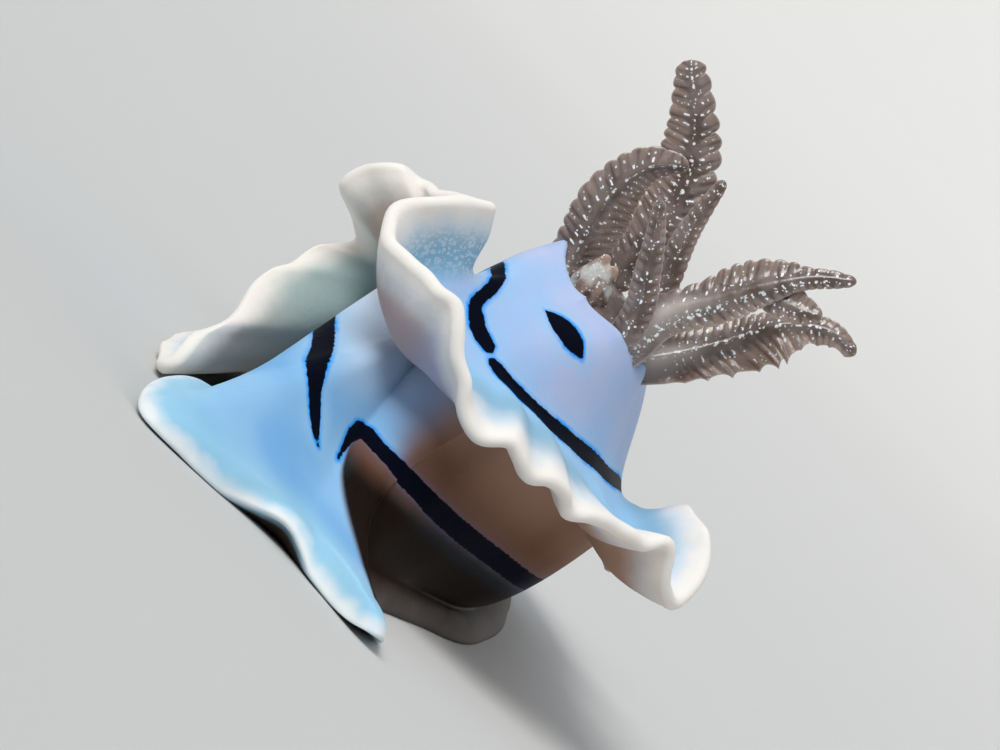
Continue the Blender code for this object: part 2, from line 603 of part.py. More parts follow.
def rhinophore_profile():
    """Radii and heights of a rhinophore: a smooth stalk, then a club with ridges round it."""
    profile = [(0.0, 0.0), (0.42, 0.0), (0.4, RHINOPHORE_STALK)]
    pitch = (RHINOPHORE_LENGTH - RHINOPHORE_STALK) / (RHINOPHORE_RIDGES + 1)
    for k in range(RHINOPHORE_RIDGES):
        height = RHINOPHORE_STALK + pitch * (k + 0.35)
        radius = RHINOPHORE_RADIUS * (1 - 0.45 * (k / RHINOPHORE_RIDGES) ** 1.6)
        profile.append((radius, height))
        profile.append((radius, height + pitch * 0.35))
        profile.append((radius - RHINOPHORE_GROOVE, height + pitch * 0.7))
    return profile + [(0.2, RHINOPHORE_LENGTH - 0.1), (0.0, RHINOPHORE_LENGTH)]


def make_rhinophores(parts, finish):
    """The two ridged clubs on the head, whose ridges slope down to the rear."""
    forward, out = RHINOPHORE_LEAN
    slope = math.tan(math.radians(RHINOPHORE_SLOPE))
    for name, side in (("rhinophore_left", 1), ("rhinophore_right", -1)):
        mesh = turned(name, rhinophore_profile(), TURNED_SIDES, Matrix.Identity(4))
        for vertex in mesh.vertices:
            club = min(max(vertex.co.z / MM - RHINOPHORE_STALK * 0.6, 0.0), 1.0)
            vertex.co.z += vertex.co.x * slope * club
        lean = Matrix.Shear("XY", 4, (math.tan(math.radians(forward)), side * math.tan(math.radians(out))))
        mesh.transform(upright_at(*rhinophore_place(side), RHINOPHORE_SEAT + GAP) @ lean)
        add_part(name, mesh, finish, parts)


def make_mouth_parts(parts, finish):
    """The snout with its slit of a mouth, and a feeler on each side of it."""
    left, up = MOUTH_PLACE
    base = MOUTH_WALL + GAP
    lying = Matrix.Rotation(math.pi / 2, 4, "Y")
    snout = turned("snout", SNOUT_PROFILE, TURNED_SIDES, upright_at(base, left, up) @ lying)
    for vertex in snout.vertices:
        inner = math.hypot(vertex.co.y / MM - left, vertex.co.z / MM - up) < 0.5
        if inner and vertex.co.x / MM > base + 1.0:
            vertex.co.y = (left + (vertex.co.y / MM - left) * MOUTH_SLIT) * MM
    add_part("snout", snout, finish, parts)
    for name, side in (("oral_tentacle_left", 1), ("oral_tentacle_right", -1)):
        share = np.linspace(0.0, 1.0, FEELER_STATIONS)
        splay = math.radians(FEELER_SPLAY)
        forward = base + FEELER_LENGTH * math.cos(splay) * share
        across = left + side * (FEELER_SPREAD + FEELER_LENGTH * math.sin(splay) * share**1.5)
        points = np.column_stack([forward, across, up - FEELER_DROOP * share])
        add_part(name, tube(name, points, np.interp(share, (0, 1), FEELER_RADII)), finish, parts)


def main():
    for old in list(bpy.data.objects):
        bpy.data.objects.remove(old)
    parts = bpy.data.collections.new("sea_slug")
    cutters = bpy.data.collections.new("cutters")
    bpy.context.scene.collection.children.link(parts)
    bpy.context.scene.collection.children.link(cutters)
    skin = material("mantle_skin", (0.60, 0.74, 0.88), 0.35)
    flank = material("flank_skin", (0.55, 0.66, 0.82), 0.35)
    pale = material("foot_skin", (0.82, 0.84, 0.84), 0.35)
    brown = material("gill_flesh", (0.33, 0.27, 0.26), 0.3)
    tan = material("papilla_skin", (0.72, 0.64, 0.56), 0.35)
    make_body(parts, cutters, skin, flank, pale)
    make_seats(parts, cutters)
    make_gills(parts, brown)
    make_papilla(parts, tan)
    make_rhinophores(parts, brown)
    make_mouth_parts(parts, pale)


main()
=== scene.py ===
# %% [markdown]
# # A frilled sea slug, seen from behind
#
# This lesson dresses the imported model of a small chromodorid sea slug. The animal is soft, wet and slightly
# see-through, so most of the work lies in one continuous skin, in gills whose ribs and lobes stand for
# hundreds of small leaflets, and in finishes that let some light pass under the surface.
#
# Sizes are written in millimetres, because the animal is 40 mm long, and are turned into metres at the end.

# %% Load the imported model
import math

import bmesh
import bpy
import numpy as np
from mathutils import Matrix, Vector


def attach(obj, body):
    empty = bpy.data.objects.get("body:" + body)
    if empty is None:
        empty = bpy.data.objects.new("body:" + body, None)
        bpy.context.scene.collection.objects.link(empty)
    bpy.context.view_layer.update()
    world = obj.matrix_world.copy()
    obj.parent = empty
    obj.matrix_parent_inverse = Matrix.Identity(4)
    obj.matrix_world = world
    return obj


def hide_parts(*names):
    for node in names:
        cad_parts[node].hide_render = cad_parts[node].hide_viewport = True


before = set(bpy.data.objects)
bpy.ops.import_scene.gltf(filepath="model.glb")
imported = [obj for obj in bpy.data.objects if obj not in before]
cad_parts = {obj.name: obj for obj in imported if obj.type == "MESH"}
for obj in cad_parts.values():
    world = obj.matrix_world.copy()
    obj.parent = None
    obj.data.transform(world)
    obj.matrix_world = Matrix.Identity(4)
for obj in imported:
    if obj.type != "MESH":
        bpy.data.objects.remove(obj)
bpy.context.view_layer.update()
MM = 0.001
print("nodes loaded:", len(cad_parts))

# %% [markdown]
# ## The camera
#
# The animal is seen from low behind it with the camera tilted, so it climbs from the lower left to the upper
# right. A long lens from 15 cm gives the calm perspective of a macro picture. The camera's own axes are built
# from the direction it looks in and the roll, because that keeps the tilt exact.

# %% Place the camera
LOOK_AT = (-2.0, 0.6, 6.3)
CAMERA_DISTANCE = 150.0
CAMERA_ELEVATION = 4.0
CAMERA_ROLL = 45.0
VIEW_WIDTH = 27.8
SENSOR = 36.0
NEAREST = 0.005  # metres, as the next one
FARTHEST = 20.0


def aimed(towards, right, at):
    """The place of a camera or lamp that looks along a direction, with a given sense of right."""
    towards = Vector(towards).normalized()
    right = (Vector(right) - towards * Vector(right).dot(towards)).normalized()
    up = right.cross(towards)
    turn = Matrix((right, up, -towards)).transposed().to_4x4()
    return Matrix.Translation(Vector(at) * MM) @ turn


def place_camera():
    """A camera behind the animal, rolled about its own line of sight."""
    rise = math.radians(CAMERA_ELEVATION)
    roll = math.radians(CAMERA_ROLL)
    towards = Vector((math.cos(rise), 0.0, -math.sin(rise)))
    level = Vector((0.0, -1.0, 0.0))
    upward = level.cross(towards)
    right = level * math.cos(roll) + upward * math.sin(roll)
    made = bpy.data.cameras.new("photo_camera")
    made.sensor_width = SENSOR
    made.lens = SENSOR * CAMERA_DISTANCE / VIEW_WIDTH
    made.clip_start = NEAREST
    made.clip_end = FARTHEST
    camera = bpy.data.objects.new("photo_camera", made)
    bpy.context.scene.collection.objects.link(camera)
    camera.matrix_world = aimed(towards, right, Vector(LOOK_AT) - towards * CAMERA_DISTANCE)
    bpy.context.scene.camera = camera
    return camera


camera = place_camera()
print("camera at", [round(value, 4) for value in camera.location], "lens", round(camera.data.lens, 1))

# %% [markdown]
# ## The shape of the animal as tables
#
# A sea slug has no straight edge to measure from. Its surface is described here as rails that run round the
# body: the midline of the back, the crest, the root of the skirt, its middle and the frilled rim. Each rail
# is a smooth closed curve through points in a table, and the skin passes through all of them. A bearing is a
# direction round the body: 0 at the head, 90 on the left, 180 at the tail and 270 on the right.

# %% The back and the skirt
SPINE = (  # forward, left
    (-16.4, -1.9), (-11, 2), (-7, 2.1), (-2.4, 0.5), (2, 0), (12, -0.1), (23, 0.8),
)
BACK_HEIGHT = (  # forward, up
    (-6, 6.9), (-3.8, 8.5), (-2.4, 9.2), (2.4, 9.3), (5, 8.8), (9, 7.6), (14, 6.7), (18, 6.4),
    (21, 5.7), (24, 4.8),
)
SKIRT_HEIGHT = ((-6.5, 6.6), (-2, 6.6), (4, 6.2), (9, 5.4), (15, 5.1), (23, 4.5))
BODY_MIDDLE = 7.0
CORE_OVAL = (9.2, 0.0)  # half length and half width, as for the next two
CREST_OVAL = (11.0, 2.3)
SKIRT_OVAL = (13.0, 4.0)
CREST_DROP = 0.15
OVAL_FULLNESS = 0.75
SKIRT_MIDDLE = 0.54
SKIRT_SHAPE = (  # bearing, lift of the skirt's root, bulge of its middle
    (0, 0, 0.35), (84, 0, 0.35), (97, 0, -0.45), (108, 0, -0.5), (118, 0, 0.2),
    (126, 0, 0.35), (140, 0.3, 0.2), (150, 1, 0.3), (156, 1.35, 0.1),
    (163, 0.9, -0.6), (169, 0.5, -0.9), (175, 0.2, -1.2), (182, 0, -0.6), (190, 0, 0.1),
    (205, 0, 0.2), (216, 0, -0.2), (224, 0, -0.7), (232, 0, -0.6), (242, 0, -0.9),
    (252, 0, -0.4), (264, 0, -0.1), (290, 0, 0.1), (320, 0, 0.35),
)
RAIL_SHIFT = (  # bearing, how far the crest and the skirt's root move to the left
    (0, 0, 0), (122, 0, 0), (133, 0.3, 0), (142, 0.38, -0.05), (148, 0.3, -0.2), (154, 0.1, -0.42),
    (160, 0, -0.35), (168, 0, 0), (180, 0, 0),
)
print("the back is highest at", max(BACK_HEIGHT, key=lambda row: row[1])[1], "mm")

# %% The frilled rim
MANTLE_RIM = (  # bearing, forward, left, up
    (0, 24.2, 0.8, 4.1), (12, 23.6, 2.6, 3.7), (26, 22, 4.1, 4.1), (40, 19.8, 5.3, 3.6),
    (54, 17, 5.9, 2.6), (66, 13.6, 6.5, 1.2), (76, 10.2, 7.1, 0.6), (86, 6.4, 7.5, 0.45),
    (94, 1, 7.9, 0.4), (101, -3.6, 7.7, 0.35), (105, -6.4, 7.3, 0.35), (109, -6, 7.3, 1.4),
    (113, -4.4, 6.9, 2.4), (117, -2.9, 7.1, 3.3), (121, -1.8, 6.8, 4.35), (125, -1.2, 6.6, 5.3),
    (129, -1.2, 6, 6.2), (133, -1.8, 6.45, 6.75), (136, -2.4, 7.3, 7.1), (139, -2.8, 7.1, 7.9),
    (142, -3, 6.4, 8.6), (145, -3.2, 5.75, 8.65), (148, -3.8, 5.25, 8.85), (152, -4.6, 4.6, 9.25),
    (156, -5.6, 3.85, 9.6), (159, -6.5, 4.75, 8.95), (162, -7.2, 5.35, 8.1), (166, -7.9, 5.2, 7.3),
    (170, -8.5, 4.3, 7.3), (174, -8.9, 3.4, 7.4), (178, -9.1, 2.65, 7.35), (181, -9.2, 1.95, 6.9),
    (184, -9.2, 1.3, 6.2), (187, -9.1, 0.6, 5.8), (190, -9, -0.1, 5.5), (194, -8.7, -0.9, 5.9),
    (199, -8.2, -1.7, 5.5), (203, -7.7, -2.3, 5.9), (210, -6.6, -3.4, 5.6), (217, -5.3, -4.4, 6),
    (223, -4.4, -5.2, 6.2), (228, -3.6, -6, 6.4), (233, -2.6, -7.1, 5.4), (238, -1.4, -7.2, 6.3),
    (243, -0.4, -6.5, 7.1), (248, 0.8, -5.8, 7.2), (254, 2.8, -6, 6.2), (262, 5.6, -6.4, 4.9),
    (276, 9.4, -6, 4.1), (292, 13.6, -6, 4.1), (312, 18.4, -5.2, 3.6), (336, 22.6, -2.6, 4.3),
)
MANTLE_THICKNESS = (  # step from the midline to the rim, thickness
    (0, 1.5), (1.6, 1.5), (2.6, 0.85), (3.3, 0.62), (3.8, 0.52), (4, 0.44),
)
print("rim points:", len(MANTLE_RIM))

# %% The flank and the foot
SHORT_JOINT = (  # bearing, how far the flank's top is drawn in under the mantle
    (0, 0), (120, 0), (134, 0), (142, 0.5), (150, 1), (160, 1), (170, 1), (178, 0.5),
    (186, 0), (200, 0), (262, 0), (276, 0.4), (300, 0.4), (314, 0), (330, 0),
)
FOOT_EDGE = (  # bearing, forward, left
    (0, 22.6, 0.7), (22, 21, 4), (45, 17, 4.7), (75, 11, 4.7), (105, 3, 5),
    (122, -4, 5.6), (136, -10, 6.5), (147, -14.2, 6.8), (155, -15.9, 6.05), (162, -15.4, 4),
    (169, -14.6, 2.2), (175, -15, 0.2), (182, -16.2, -1.8), (189, -14.4, -2.1), (200, -10.4, -1.4),
    (216, -5.6, -2.4), (236, -0.8, -3.9), (262, 5, -4.6), (300, 13.6, -4.8), (328, 19.4, -4.2),
    (344, 22, -2.4),
)
MARGIN_LIFT = (  # bearing, how far the foot's edge is lifted off the floor
    (0, 0), (122, 0), (130, 0.5), (136, 0.8), (141, 0.68), (147, 0.28), (152, 0.08), (158, 0.04),
    (164, 0.03), (167.2, 0.28), (170.8, 0.56), (172.6, 0.36), (174.2, 0.1), (176, 0.03), (178.5, 0.06),
    (181.6, 0.32), (184, 0.36), (188, 0.12), (192, 0),
)
SOLE_LINE = (17.0, 4.0)  # half length, middle
SOLE_SPINE = ((-13.0, 1.5), (-8.0, 1.8), (-2.0, 1.0), (4.0, 0.2), (12.0, -0.1), (21.0, 0.3))
FOOT_THICKNESS = 0.78
FLANK_SHAPE = (  # bearing, the bend's share outwards and its share upwards, its pull inwards
    (0, 0.3, 0.3, 0), (40, 0.1, 0.2, 0.3), (60, 0.08, 0.16, 0.5), (92, 0.08, 0.16, 0.5),
    (106, 0.3, 0.3, 0.1), (120, 0.55, 0.5, 0), (140, 0.6, 0.55, 0), (150, 0.45, 0.43, 0),
    (160, 0.3, 0.32, 0), (170, 0.2, 0.25, 0), (180, 0.12, 0.2, 0.1),
    (184, 0.1, 0.18, 0.6), (189, 0.08, 0.16, 1.3), (205, 0.08, 0.16, 1.3), (225, 0.08, 0.16, 0.7),
    (300, 0.08, 0.16, 0.5), (325, 0.1, 0.2, 0.3),
)
print("foot points:", len(FOOT_EDGE))

# %% [markdown]
# ## Curves through the tables
#
# A Hermite curve passes through every knot and leaves it in the direction of its neighbours, so it never
# overshoots far. The same few functions serve the rails, the skirt's thickness and, later, the gills.

# %% Curve helpers
def curve_through(knots, values, at, period=None):
    """Values at some places of a smooth curve through the given values, which lie at knots."""
    knots = np.asarray(knots, float)
    values = np.asarray(values, float).reshape(len(knots), -1)
    if period:
        knots = np.concatenate([knots[-2:] - period, knots, knots[:2] + period])
        values = np.concatenate([values[-2:], values, values[:2]])
        at = np.mod(at, period)
    slopes = np.gradient(values, knots, axis=0)
    at = np.clip(at, knots[0], knots[-1])
    low = np.clip(np.searchsorted(knots, at) - 1, 0, len(knots) - 2)
    width = (knots[low + 1] - knots[low])[:, None]
    t = (at - knots[low])[:, None] / width
    start, end = values[low], values[low + 1]
    leave = (t**3 - 2 * t**2 + t) * width * slopes[low]
    arrive = (t**3 - t**2) * width * slopes[low + 1]
    return (2 * t**3 - 3 * t**2 + 1) * start + leave + (3 * t**2 - 2 * t**3) * end + arrive


def along_body(table, forward):
    """Values from a table of places forward and values."""
    knots, values = zip(*table)
    return curve_through(knots, values, np.asarray(forward, float))[:, 0]


def round_body(table, bearings):
    """Values from a table whose rows start with a bearing."""
    rows = np.array(table)
    return curve_through(rows[:, 0], rows[:, 1:], bearings, 360)


def on_oval(size, bearings, profile, drop=0.0):
    """Points of an oval round the spine, at the height that a profile gives."""
    half_length, half_width = size
    angle = np.radians(bearings)
    forward = BODY_MIDDLE + half_length * np.cos(angle)
    across = half_width * np.sign(np.sin(angle)) * np.abs(np.sin(angle)) ** OVAL_FULLNESS
    return np.stack([forward, along_body(SPINE, forward) + across, along_body(profile, forward) - drop], axis=1)


print("height of the back over the gills:", along_body(BACK_HEIGHT, [0.0])[0])

# %% [markdown]
# ## Rows of the skin
#
# The skin is one grid wrapped round the animal. Its columns are bearings, closer together at the tail where
# the camera looks. Its rows start on the midline of the back, run out over the skirt, roll round the rim,
# come back underneath, turn down the flank, roll round the foot's edge and end on the middle of the sole.

# %% The upper side
COLUMNS = 420
CROWDING = 0.5
FINE_STEPS = np.linspace(0, 4, 161)
turns = np.arange(COLUMNS) / COLUMNS * 2 * math.pi
bearings = np.degrees(turns + CROWDING * np.sin(turns))


def mantle_top(bearings, steps):
    """The upper surface of the mantle, in rows from the midline of the back to the rim."""
    lift, bulge = round_body(SKIRT_SHAPE, bearings).T
    core = on_oval(CORE_OVAL, bearings, BACK_HEIGHT)
    crest = on_oval(CREST_OVAL, bearings, BACK_HEIGHT, CREST_DROP)
    root = on_oval(SKIRT_OVAL, bearings, SKIRT_HEIGHT)
    root[:, 2] += lift
    crest_shift, root_shift = round_body(RAIL_SHIFT, bearings).T
    crest[:, 1] += crest_shift
    root[:, 1] += root_shift
    rim = round_body(MANTLE_RIM, bearings)
    middle = root * (1 - SKIRT_MIDDLE) + rim * SKIRT_MIDDLE
    middle[:, 2] += bulge
    rails = np.stack([core, crest, root, middle, rim])
    rows = curve_through(range(len(rails)), rails.reshape(len(rails), -1), np.asarray(steps, float))
    return rows.reshape(len(steps), len(bearings), 3)


upper_side = mantle_top(bearings, FINE_STEPS)
print("upper side:", upper_side.shape)

# %% The way out of the surface, and small waves
NORMAL_EVENING = 24
FRILL_WAVES = ((61, 0.055, 0.4), (43, 0.05, 2.0), (29, 0.05, 4.1), (97, 0.02, 1.3))  # count, size, turn


def unit(vectors):
    """Directions of length one."""
    return vectors / np.maximum(np.linalg.norm(vectors, axis=-1, keepdims=True), 1e-9)


def outward(grid, steps):
    """The way out of the mantle at each point: up on the back and square to the skirt, evened out."""
    around = np.roll(grid, -1, axis=1) - np.roll(grid, 1, axis=1)
    normals = unit(np.cross(np.gradient(grid, axis=0), around))
    for _ in range(NORMAL_EVENING):
        normals = unit(normals * 2 + np.roll(normals, 1, axis=1) + np.roll(normals, -1, axis=1))
    square = np.interp(steps, (1.3, 3.0), (0.0, 1.0))[:, None, None]
    return unit(normals * square + np.array([0.0, 0.0, 1.0]) * (1 - square))


def sampled(grid, steps):
    """Rows of a finely stepped grid at steps that may differ with the bearing."""
    spots = np.asarray(steps, float) / FINE_STEPS[1]
    low = np.clip(np.floor(spots).astype(int), 0, len(grid) - 2)
    share = (spots - low)[:, :, None]
    column = np.arange(grid.shape[1])
    return grid[low, column] * (1 - share) + grid[low + 1, column] * share


def frill_ripple(rim):
    """Small uneven waves along the rim, in millimetres, from its own length."""
    steps = np.linalg.norm(np.roll(rim, -1, axis=0) - rim, axis=1)
    share = np.cumsum(steps) / steps.sum() * 2 * math.pi
    return sum(size * np.sin(count * share + turn) for count, size, turn in FRILL_WAVES)


print("waves along the rim:", len(FRILL_WAVES))

# %% Upper side, rim and underside
TOP_ROWS = 78
RIM_ROWS = 9
UNDER_ROWS = 30
LONG_REACH = 2.5
SHORT_REACH = 1.6


def mantle_parts():
    """Rows of the upper side, of the rolled rim and of the underside up to where the flank joins it."""
    way = outward(upper_side, FINE_STEPS)
    depth = np.interp(FINE_STEPS, *zip(*MANTLE_THICKNESS))[:, None, None]
    ripple = frill_ripple(upper_side[-1]) * np.clip(FINE_STEPS - 3, 0, 1)[:, None] ** 1.5
    fine = upper_side + way * ripple[:, :, None]
    below = fine - way * depth
    top = sampled(fine, np.repeat(np.linspace(0, 4, TOP_ROWS)[:, None], COLUMNS, axis=1))
    middle = (fine[-1] + below[-1]) / 2
    upward = (fine[-1] - below[-1]) / 2
    out = unit(fine[-1] - fine[-5]) * np.linalg.norm(upward, axis=1, keepdims=True)
    angles = np.linspace(0, math.pi, RIM_ROWS + 2)[1:-1, None, None]
    rim = middle + upward * np.cos(angles) + out * np.sin(angles)
    share = round_body(SHORT_JOINT, bearings)[:, 0]
    reach = LONG_REACH * (1 - share) + SHORT_REACH * share
    return [top, rim, sampled(below, 4 + np.linspace(0, 1, UNDER_ROWS)[:, None] * (reach - 4))]


mantle = mantle_parts()
print("rows of the mantle:", [len(part) for part in mantle])

# %% Flank, lip and sole
FLANK_ROWS = 44
SHELF_WIDTH = 1.15
SHELF_LIFT = 0.8
LIP_PROFILE = (  # distance in from the foot's edge, height
    (0.95, 0.73), (0.75, 0.67), (0.55, 0.59), (0.38, 0.49), (0.24, 0.38), (0.12, 0.26), (0.04, 0.15), (0, 0.08),
    (0.04, 0.03), (0.14, 0.01),
)
SOLE_ROWS = 10
SOLE_INSET = 0.3
LIFT_EVENING = 22


def foot_parts(joint):
    """Rows of the flank below its joint with the mantle, of the foot's rounded lip and of the sole."""
    edge = round_body(FOOT_EDGE, bearings)
    half_length, centre = SOLE_LINE
    forward = centre + half_length * np.cos(np.radians(bearings))
    middle_line = np.column_stack([forward, along_body(SOLE_SPINE, forward)])
    inward = unit(middle_line - edge)
    lift = np.maximum(round_body(MARGIN_LIFT, bearings)[:, 0], 0)
    evened = np.mean([np.roll(lift, shift) for shift in range(-LIFT_EVENING, LIFT_EVENING + 1)], axis=0)
    evened *= SHELF_LIFT
    shelf = np.column_stack([edge + inward * SHELF_WIDTH, FOOT_THICKNESS + evened])
    out_share, rise, pull = round_body(FLANK_SHAPE, bearings).T[:, :, None]
    bend = joint * (1 - out_share) + shelf * out_share
    bend[:, 2:] = joint[:, 2:] * rise + shelf[:, 2:] * (1 - rise)
    bend[:, :2] += inward * pull
    t = np.linspace(0, 1, FLANK_ROWS + 1)[1:, None, None]
    flank = joint * (1 - t) ** 2 + bend * 2 * t * (1 - t) + shelf * t**2
    lip = [np.column_stack([edge + inward * set_in, height + lift + (evened - lift) * set_in / SHELF_WIDTH])
           for set_in, height in LIP_PROFILE]
    t = np.linspace(0, 1, SOLE_ROWS)[:, None, None]
    level = np.zeros(COLUMNS)
    outer = np.column_stack([edge + inward * SOLE_INSET, level])
    sole = outer * (1 - t) + np.column_stack([middle_line, level]) * t
    sole[:, :, 2] += lift * (1 - t[:, :, 0]) ** 4
    return [flank, np.array(lip), sole]


parts = mantle + foot_parts(mantle[-1][-1])
starts = np.cumsum([0] + [len(part) for part in parts])
rows = np.concatenate(parts)
print("skin grid:", rows.shape, "parts start at rows", list(starts))

# %% Even the columns over the tail
COLUMN_EVENING = 40
TAIL_FROM = 158  # bearings between which the tail lies
TAIL_TO = 192
TAIL_FADE = 6


def even_tail():
    """Evens the columns over the tail, where they crowd together, so that they leave no crease."""
    row = np.arange(len(rows))
    down = np.clip((row - starts[2]) / UNDER_ROWS, 0, 1) * np.clip((starts[4] - row) / 12, 0, 1)
    entering = np.clip((bearings - TAIL_FROM) / TAIL_FADE, 0, 1)
    leaving = np.clip((TAIL_TO - bearings) / TAIL_FADE, 0, 1)
    weight = (down[:, None] * entering * leaving)[..., None]
    for _ in range(COLUMN_EVENING):
        evened = (np.roll(rows, 1, axis=1) + rows + np.roll(rows, -1, axis=1)) / 3
        rows[:] += (evened - rows) * weight


even_tail()
print("columns evened:", int(((bearings > TAIL_FROM) & (bearings < TAIL_TO)).sum()))

# %% [markdown]
# ## The pocket of the gills
#
# The gills stand in a shallow pocket of the back with a soft raised collar, and the animal can draw them in.
# The collar is highest on the left, where the skin climbs the root of a gill. It is a low wave of the skin,
# so it is pressed into the rows before the mesh is made.

# %% Press in the pocket
POCKET_CENTRE = (-0.1, -0.15)
POCKET_PROFILE = ((0.0, -0.6), (1.3, -0.6), (1.8, -0.25), (2.2, 0.08), (2.6, 0.1), (3.2, 0.0))
COLLAR_HEIGHT = (  # turn, height
    (0, 0.1), (50, 0.3), (90, 0.66), (125, 0.35), (160, 0.25), (200, 0.27), (240, 0.35), (270, 0.42),
    (310, 0.2),
)
COLLAR_RADIUS = 2.05
COLLAR_WIDTH = 0.33


def press_pocket():
    """Lowers the skin inside the ring of gills and raises a collar round it."""
    top = rows[:starts[1]]
    radius = np.hypot(top[:, :, 0] - POCKET_CENTRE[0], top[:, :, 1] - POCKET_CENTRE[1])
    turn = np.degrees(np.arctan2(top[:, :, 1] - POCKET_CENTRE[1], top[:, :, 0] - POCKET_CENTRE[0])) % 360
    collar = round_body(COLLAR_HEIGHT, turn.ravel())[:, 0].reshape(turn.shape)
    collar = collar * np.exp(-(((radius - COLLAR_RADIUS) / COLLAR_WIDTH) ** 2))
    upper = np.linspace(0, 4, TOP_ROWS)[:, None] < 1.9
    top[:, :, 2] += (np.interp(radius, *zip(*POCKET_PROFILE)) + collar) * upper


press_pocket()
print("pocket pressed in round", POCKET_CENTRE)

# %% [markdown]
# ## Measures along the skin
#
# The colours of this animal follow its edges: a cream band along the rim, then a bluish grainy zone, then the
# pale blue back with its black lines. So every point is told how far it lies from the rim and from the foot's
# edge, measured along the skin. The finish reads these numbers as attributes and can draw edges much sharper
# than the mesh itself.

# %% Distances from the edges
def lengths_from(row):
    """Distance of every point from one row, along its column."""
    steps = np.linalg.norm(np.diff(rows, axis=0), axis=2)
    along = np.concatenate([np.zeros((1, COLUMNS)), np.cumsum(steps, axis=0)])
    return np.abs(along - along[row])


rim_distance = lengths_from(starts[1] + RIM_ROWS // 2)
lip_distance = lengths_from(starts[5] - 4)
print("longest way from the rim:", round(float(rim_distance.max()), 1), "mm")

# %% [markdown]
# ## The black lines
#
# Each line is a path on the skin with a half width at each of its points. On the mantle a path is given by
# bearing and row, and on the flank by bearing and height. Every point of the skin then gets its distance from
# the nearest line's edge, which is below zero inside the line. The same number also places the electric blue
# along the lines.

# %% Paths of the lines
LEFT_LINE = (  # bearing, row, half width
    (14, 1.95, 0.14), (50, 1.9, 0.2), (90, 1.85, 0.2), (125, 1.62, 0.2), (140, 1.38, 0.2),
    (149, 1.4, 0.21), (160, 1.52, 0.2), (166, 1.56, 0.19),
    (171, 1.65, 0.22), (176, 1.7, 0.28), (180, 1.77, 0.3), (182, 1.79, 0.26),
)
RIGHT_LINE = (
    (187.6, 1.95, 0.2), (190, 1.98, 0.26), (195, 2.03, 0.27), (206, 2.08, 0.27), (217, 2.08, 0.27),
    (231, 2.08, 0.27), (241, 2.12, 0.26), (270, 2.1, 0.22), (310, 2.0, 0.2), (346, 1.95, 0.14),
)
LEFT_STRIPE = (  # bearing, height, half width
    (20, 2.7, 0.12), (60, 3.0, 0.24), (100, 3.5, 0.26), (125, 4.2, 0.3), (139.5, 4.02, 0.31),
    (144.2, 3.73, 0.31), (151, 3.42, 0.31), (155, 3.14, 0.3), (159.3, 2.68, 0.27), (162.4, 2.33, 0.18),
    (163.8, 2.2, 0.11), (164.8, 2.12, 0.05),
)
RIGHT_STRIPE = (
    (170.4, 2.15, 0.03), (169.4, 2.5, 0.11), (168.6, 2.85, 0.22), (172, 3.02, 0.27), (179, 3.03, 0.29),
    (185.6, 3.02, 0.3), (199.7, 2.92, 0.3), (210.8, 2.78, 0.3), (224, 2.72, 0.3), (240, 2.7, 0.3),
    (270, 2.7, 0.28), (310, 2.6, 0.25), (342, 2.5, 0.12),
)
SPOT_ENDS = ((-3.5, 0.99, 8.55), (-3.33, -0.72, 8.31))
SPOT_HALF_WIDTH = 0.45
FAR_FROM_LINES = 3.0


def between_columns(bearing):
    """The column of the skin, interpolated, at one bearing."""
    spot = np.interp(bearing, bearings, np.arange(COLUMNS))
    low = int(spot)
    share = spot - low
    return rows[:, low] * (1 - share) + rows[:, (low + 1) % COLUMNS] * share


def on_mantle(bearing, step):
    """A point of the mantle's upper side."""
    column = between_columns(bearing)[:starts[1]]
    spot = step / 4 * (TOP_ROWS - 1)
    low = int(spot)
    return column[low] * (1 - spot + low) + column[low + 1] * (spot - low)


def on_flank(bearing, height):
    """A point of the flank at a height."""
    column = between_columns(bearing)[starts[3]:starts[4]][::-1]
    return np.array([np.interp(height, column[:, 2], column[:, axis]) for axis in range(3)])


def line_path(table, place):
    """Points on the skin along a line, and the half width at each."""
    table = np.array(table)
    knots = np.concatenate([[0], np.cumsum(np.hypot(np.diff(table[:, 0]), 6 * np.diff(table[:, 1])))])
    fine = curve_through(knots, table, np.linspace(0, knots[-1], 90))
    return np.array([place(row[0], row[1]) for row in fine]), fine[:, 2]


def distance_from_path(points, path, widths):
    """Distance of points from the edge of a line along a path."""
    flat = points.reshape(-1, 3)
    nearest = np.full(len(flat), FAR_FROM_LINES)
    for start, end, wide, wider in zip(path, path[1:], widths, widths[1:]):
        step = end - start
        share = np.clip((flat - start) @ step / max(step @ step, 1e-12), 0, 1)
        gap = np.linalg.norm(flat - start - share[:, None] * step, axis=1)
        nearest = np.minimum(nearest, gap - wide - share * (wider - wide))
    return nearest.reshape(points.shape[:-1])


def distance_from_spot(points):
    """Distance from the edge of the pointed oval spot behind the gills."""
    start, end = np.array(SPOT_ENDS)
    middle, half = (start + end) / 2, (end - start) / 2
    share = (points - middle) @ half / (half @ half)
    gap = np.linalg.norm(points - middle - np.clip(share, -1, 1)[..., None] * half, axis=-1)
    return gap - SPOT_HALF_WIDTH * np.clip(1 - np.abs(share) ** 2.2, 0, 1)


print("length of the spot:", round(float(np.linalg.norm(np.subtract(*SPOT_ENDS))), 2), "mm")

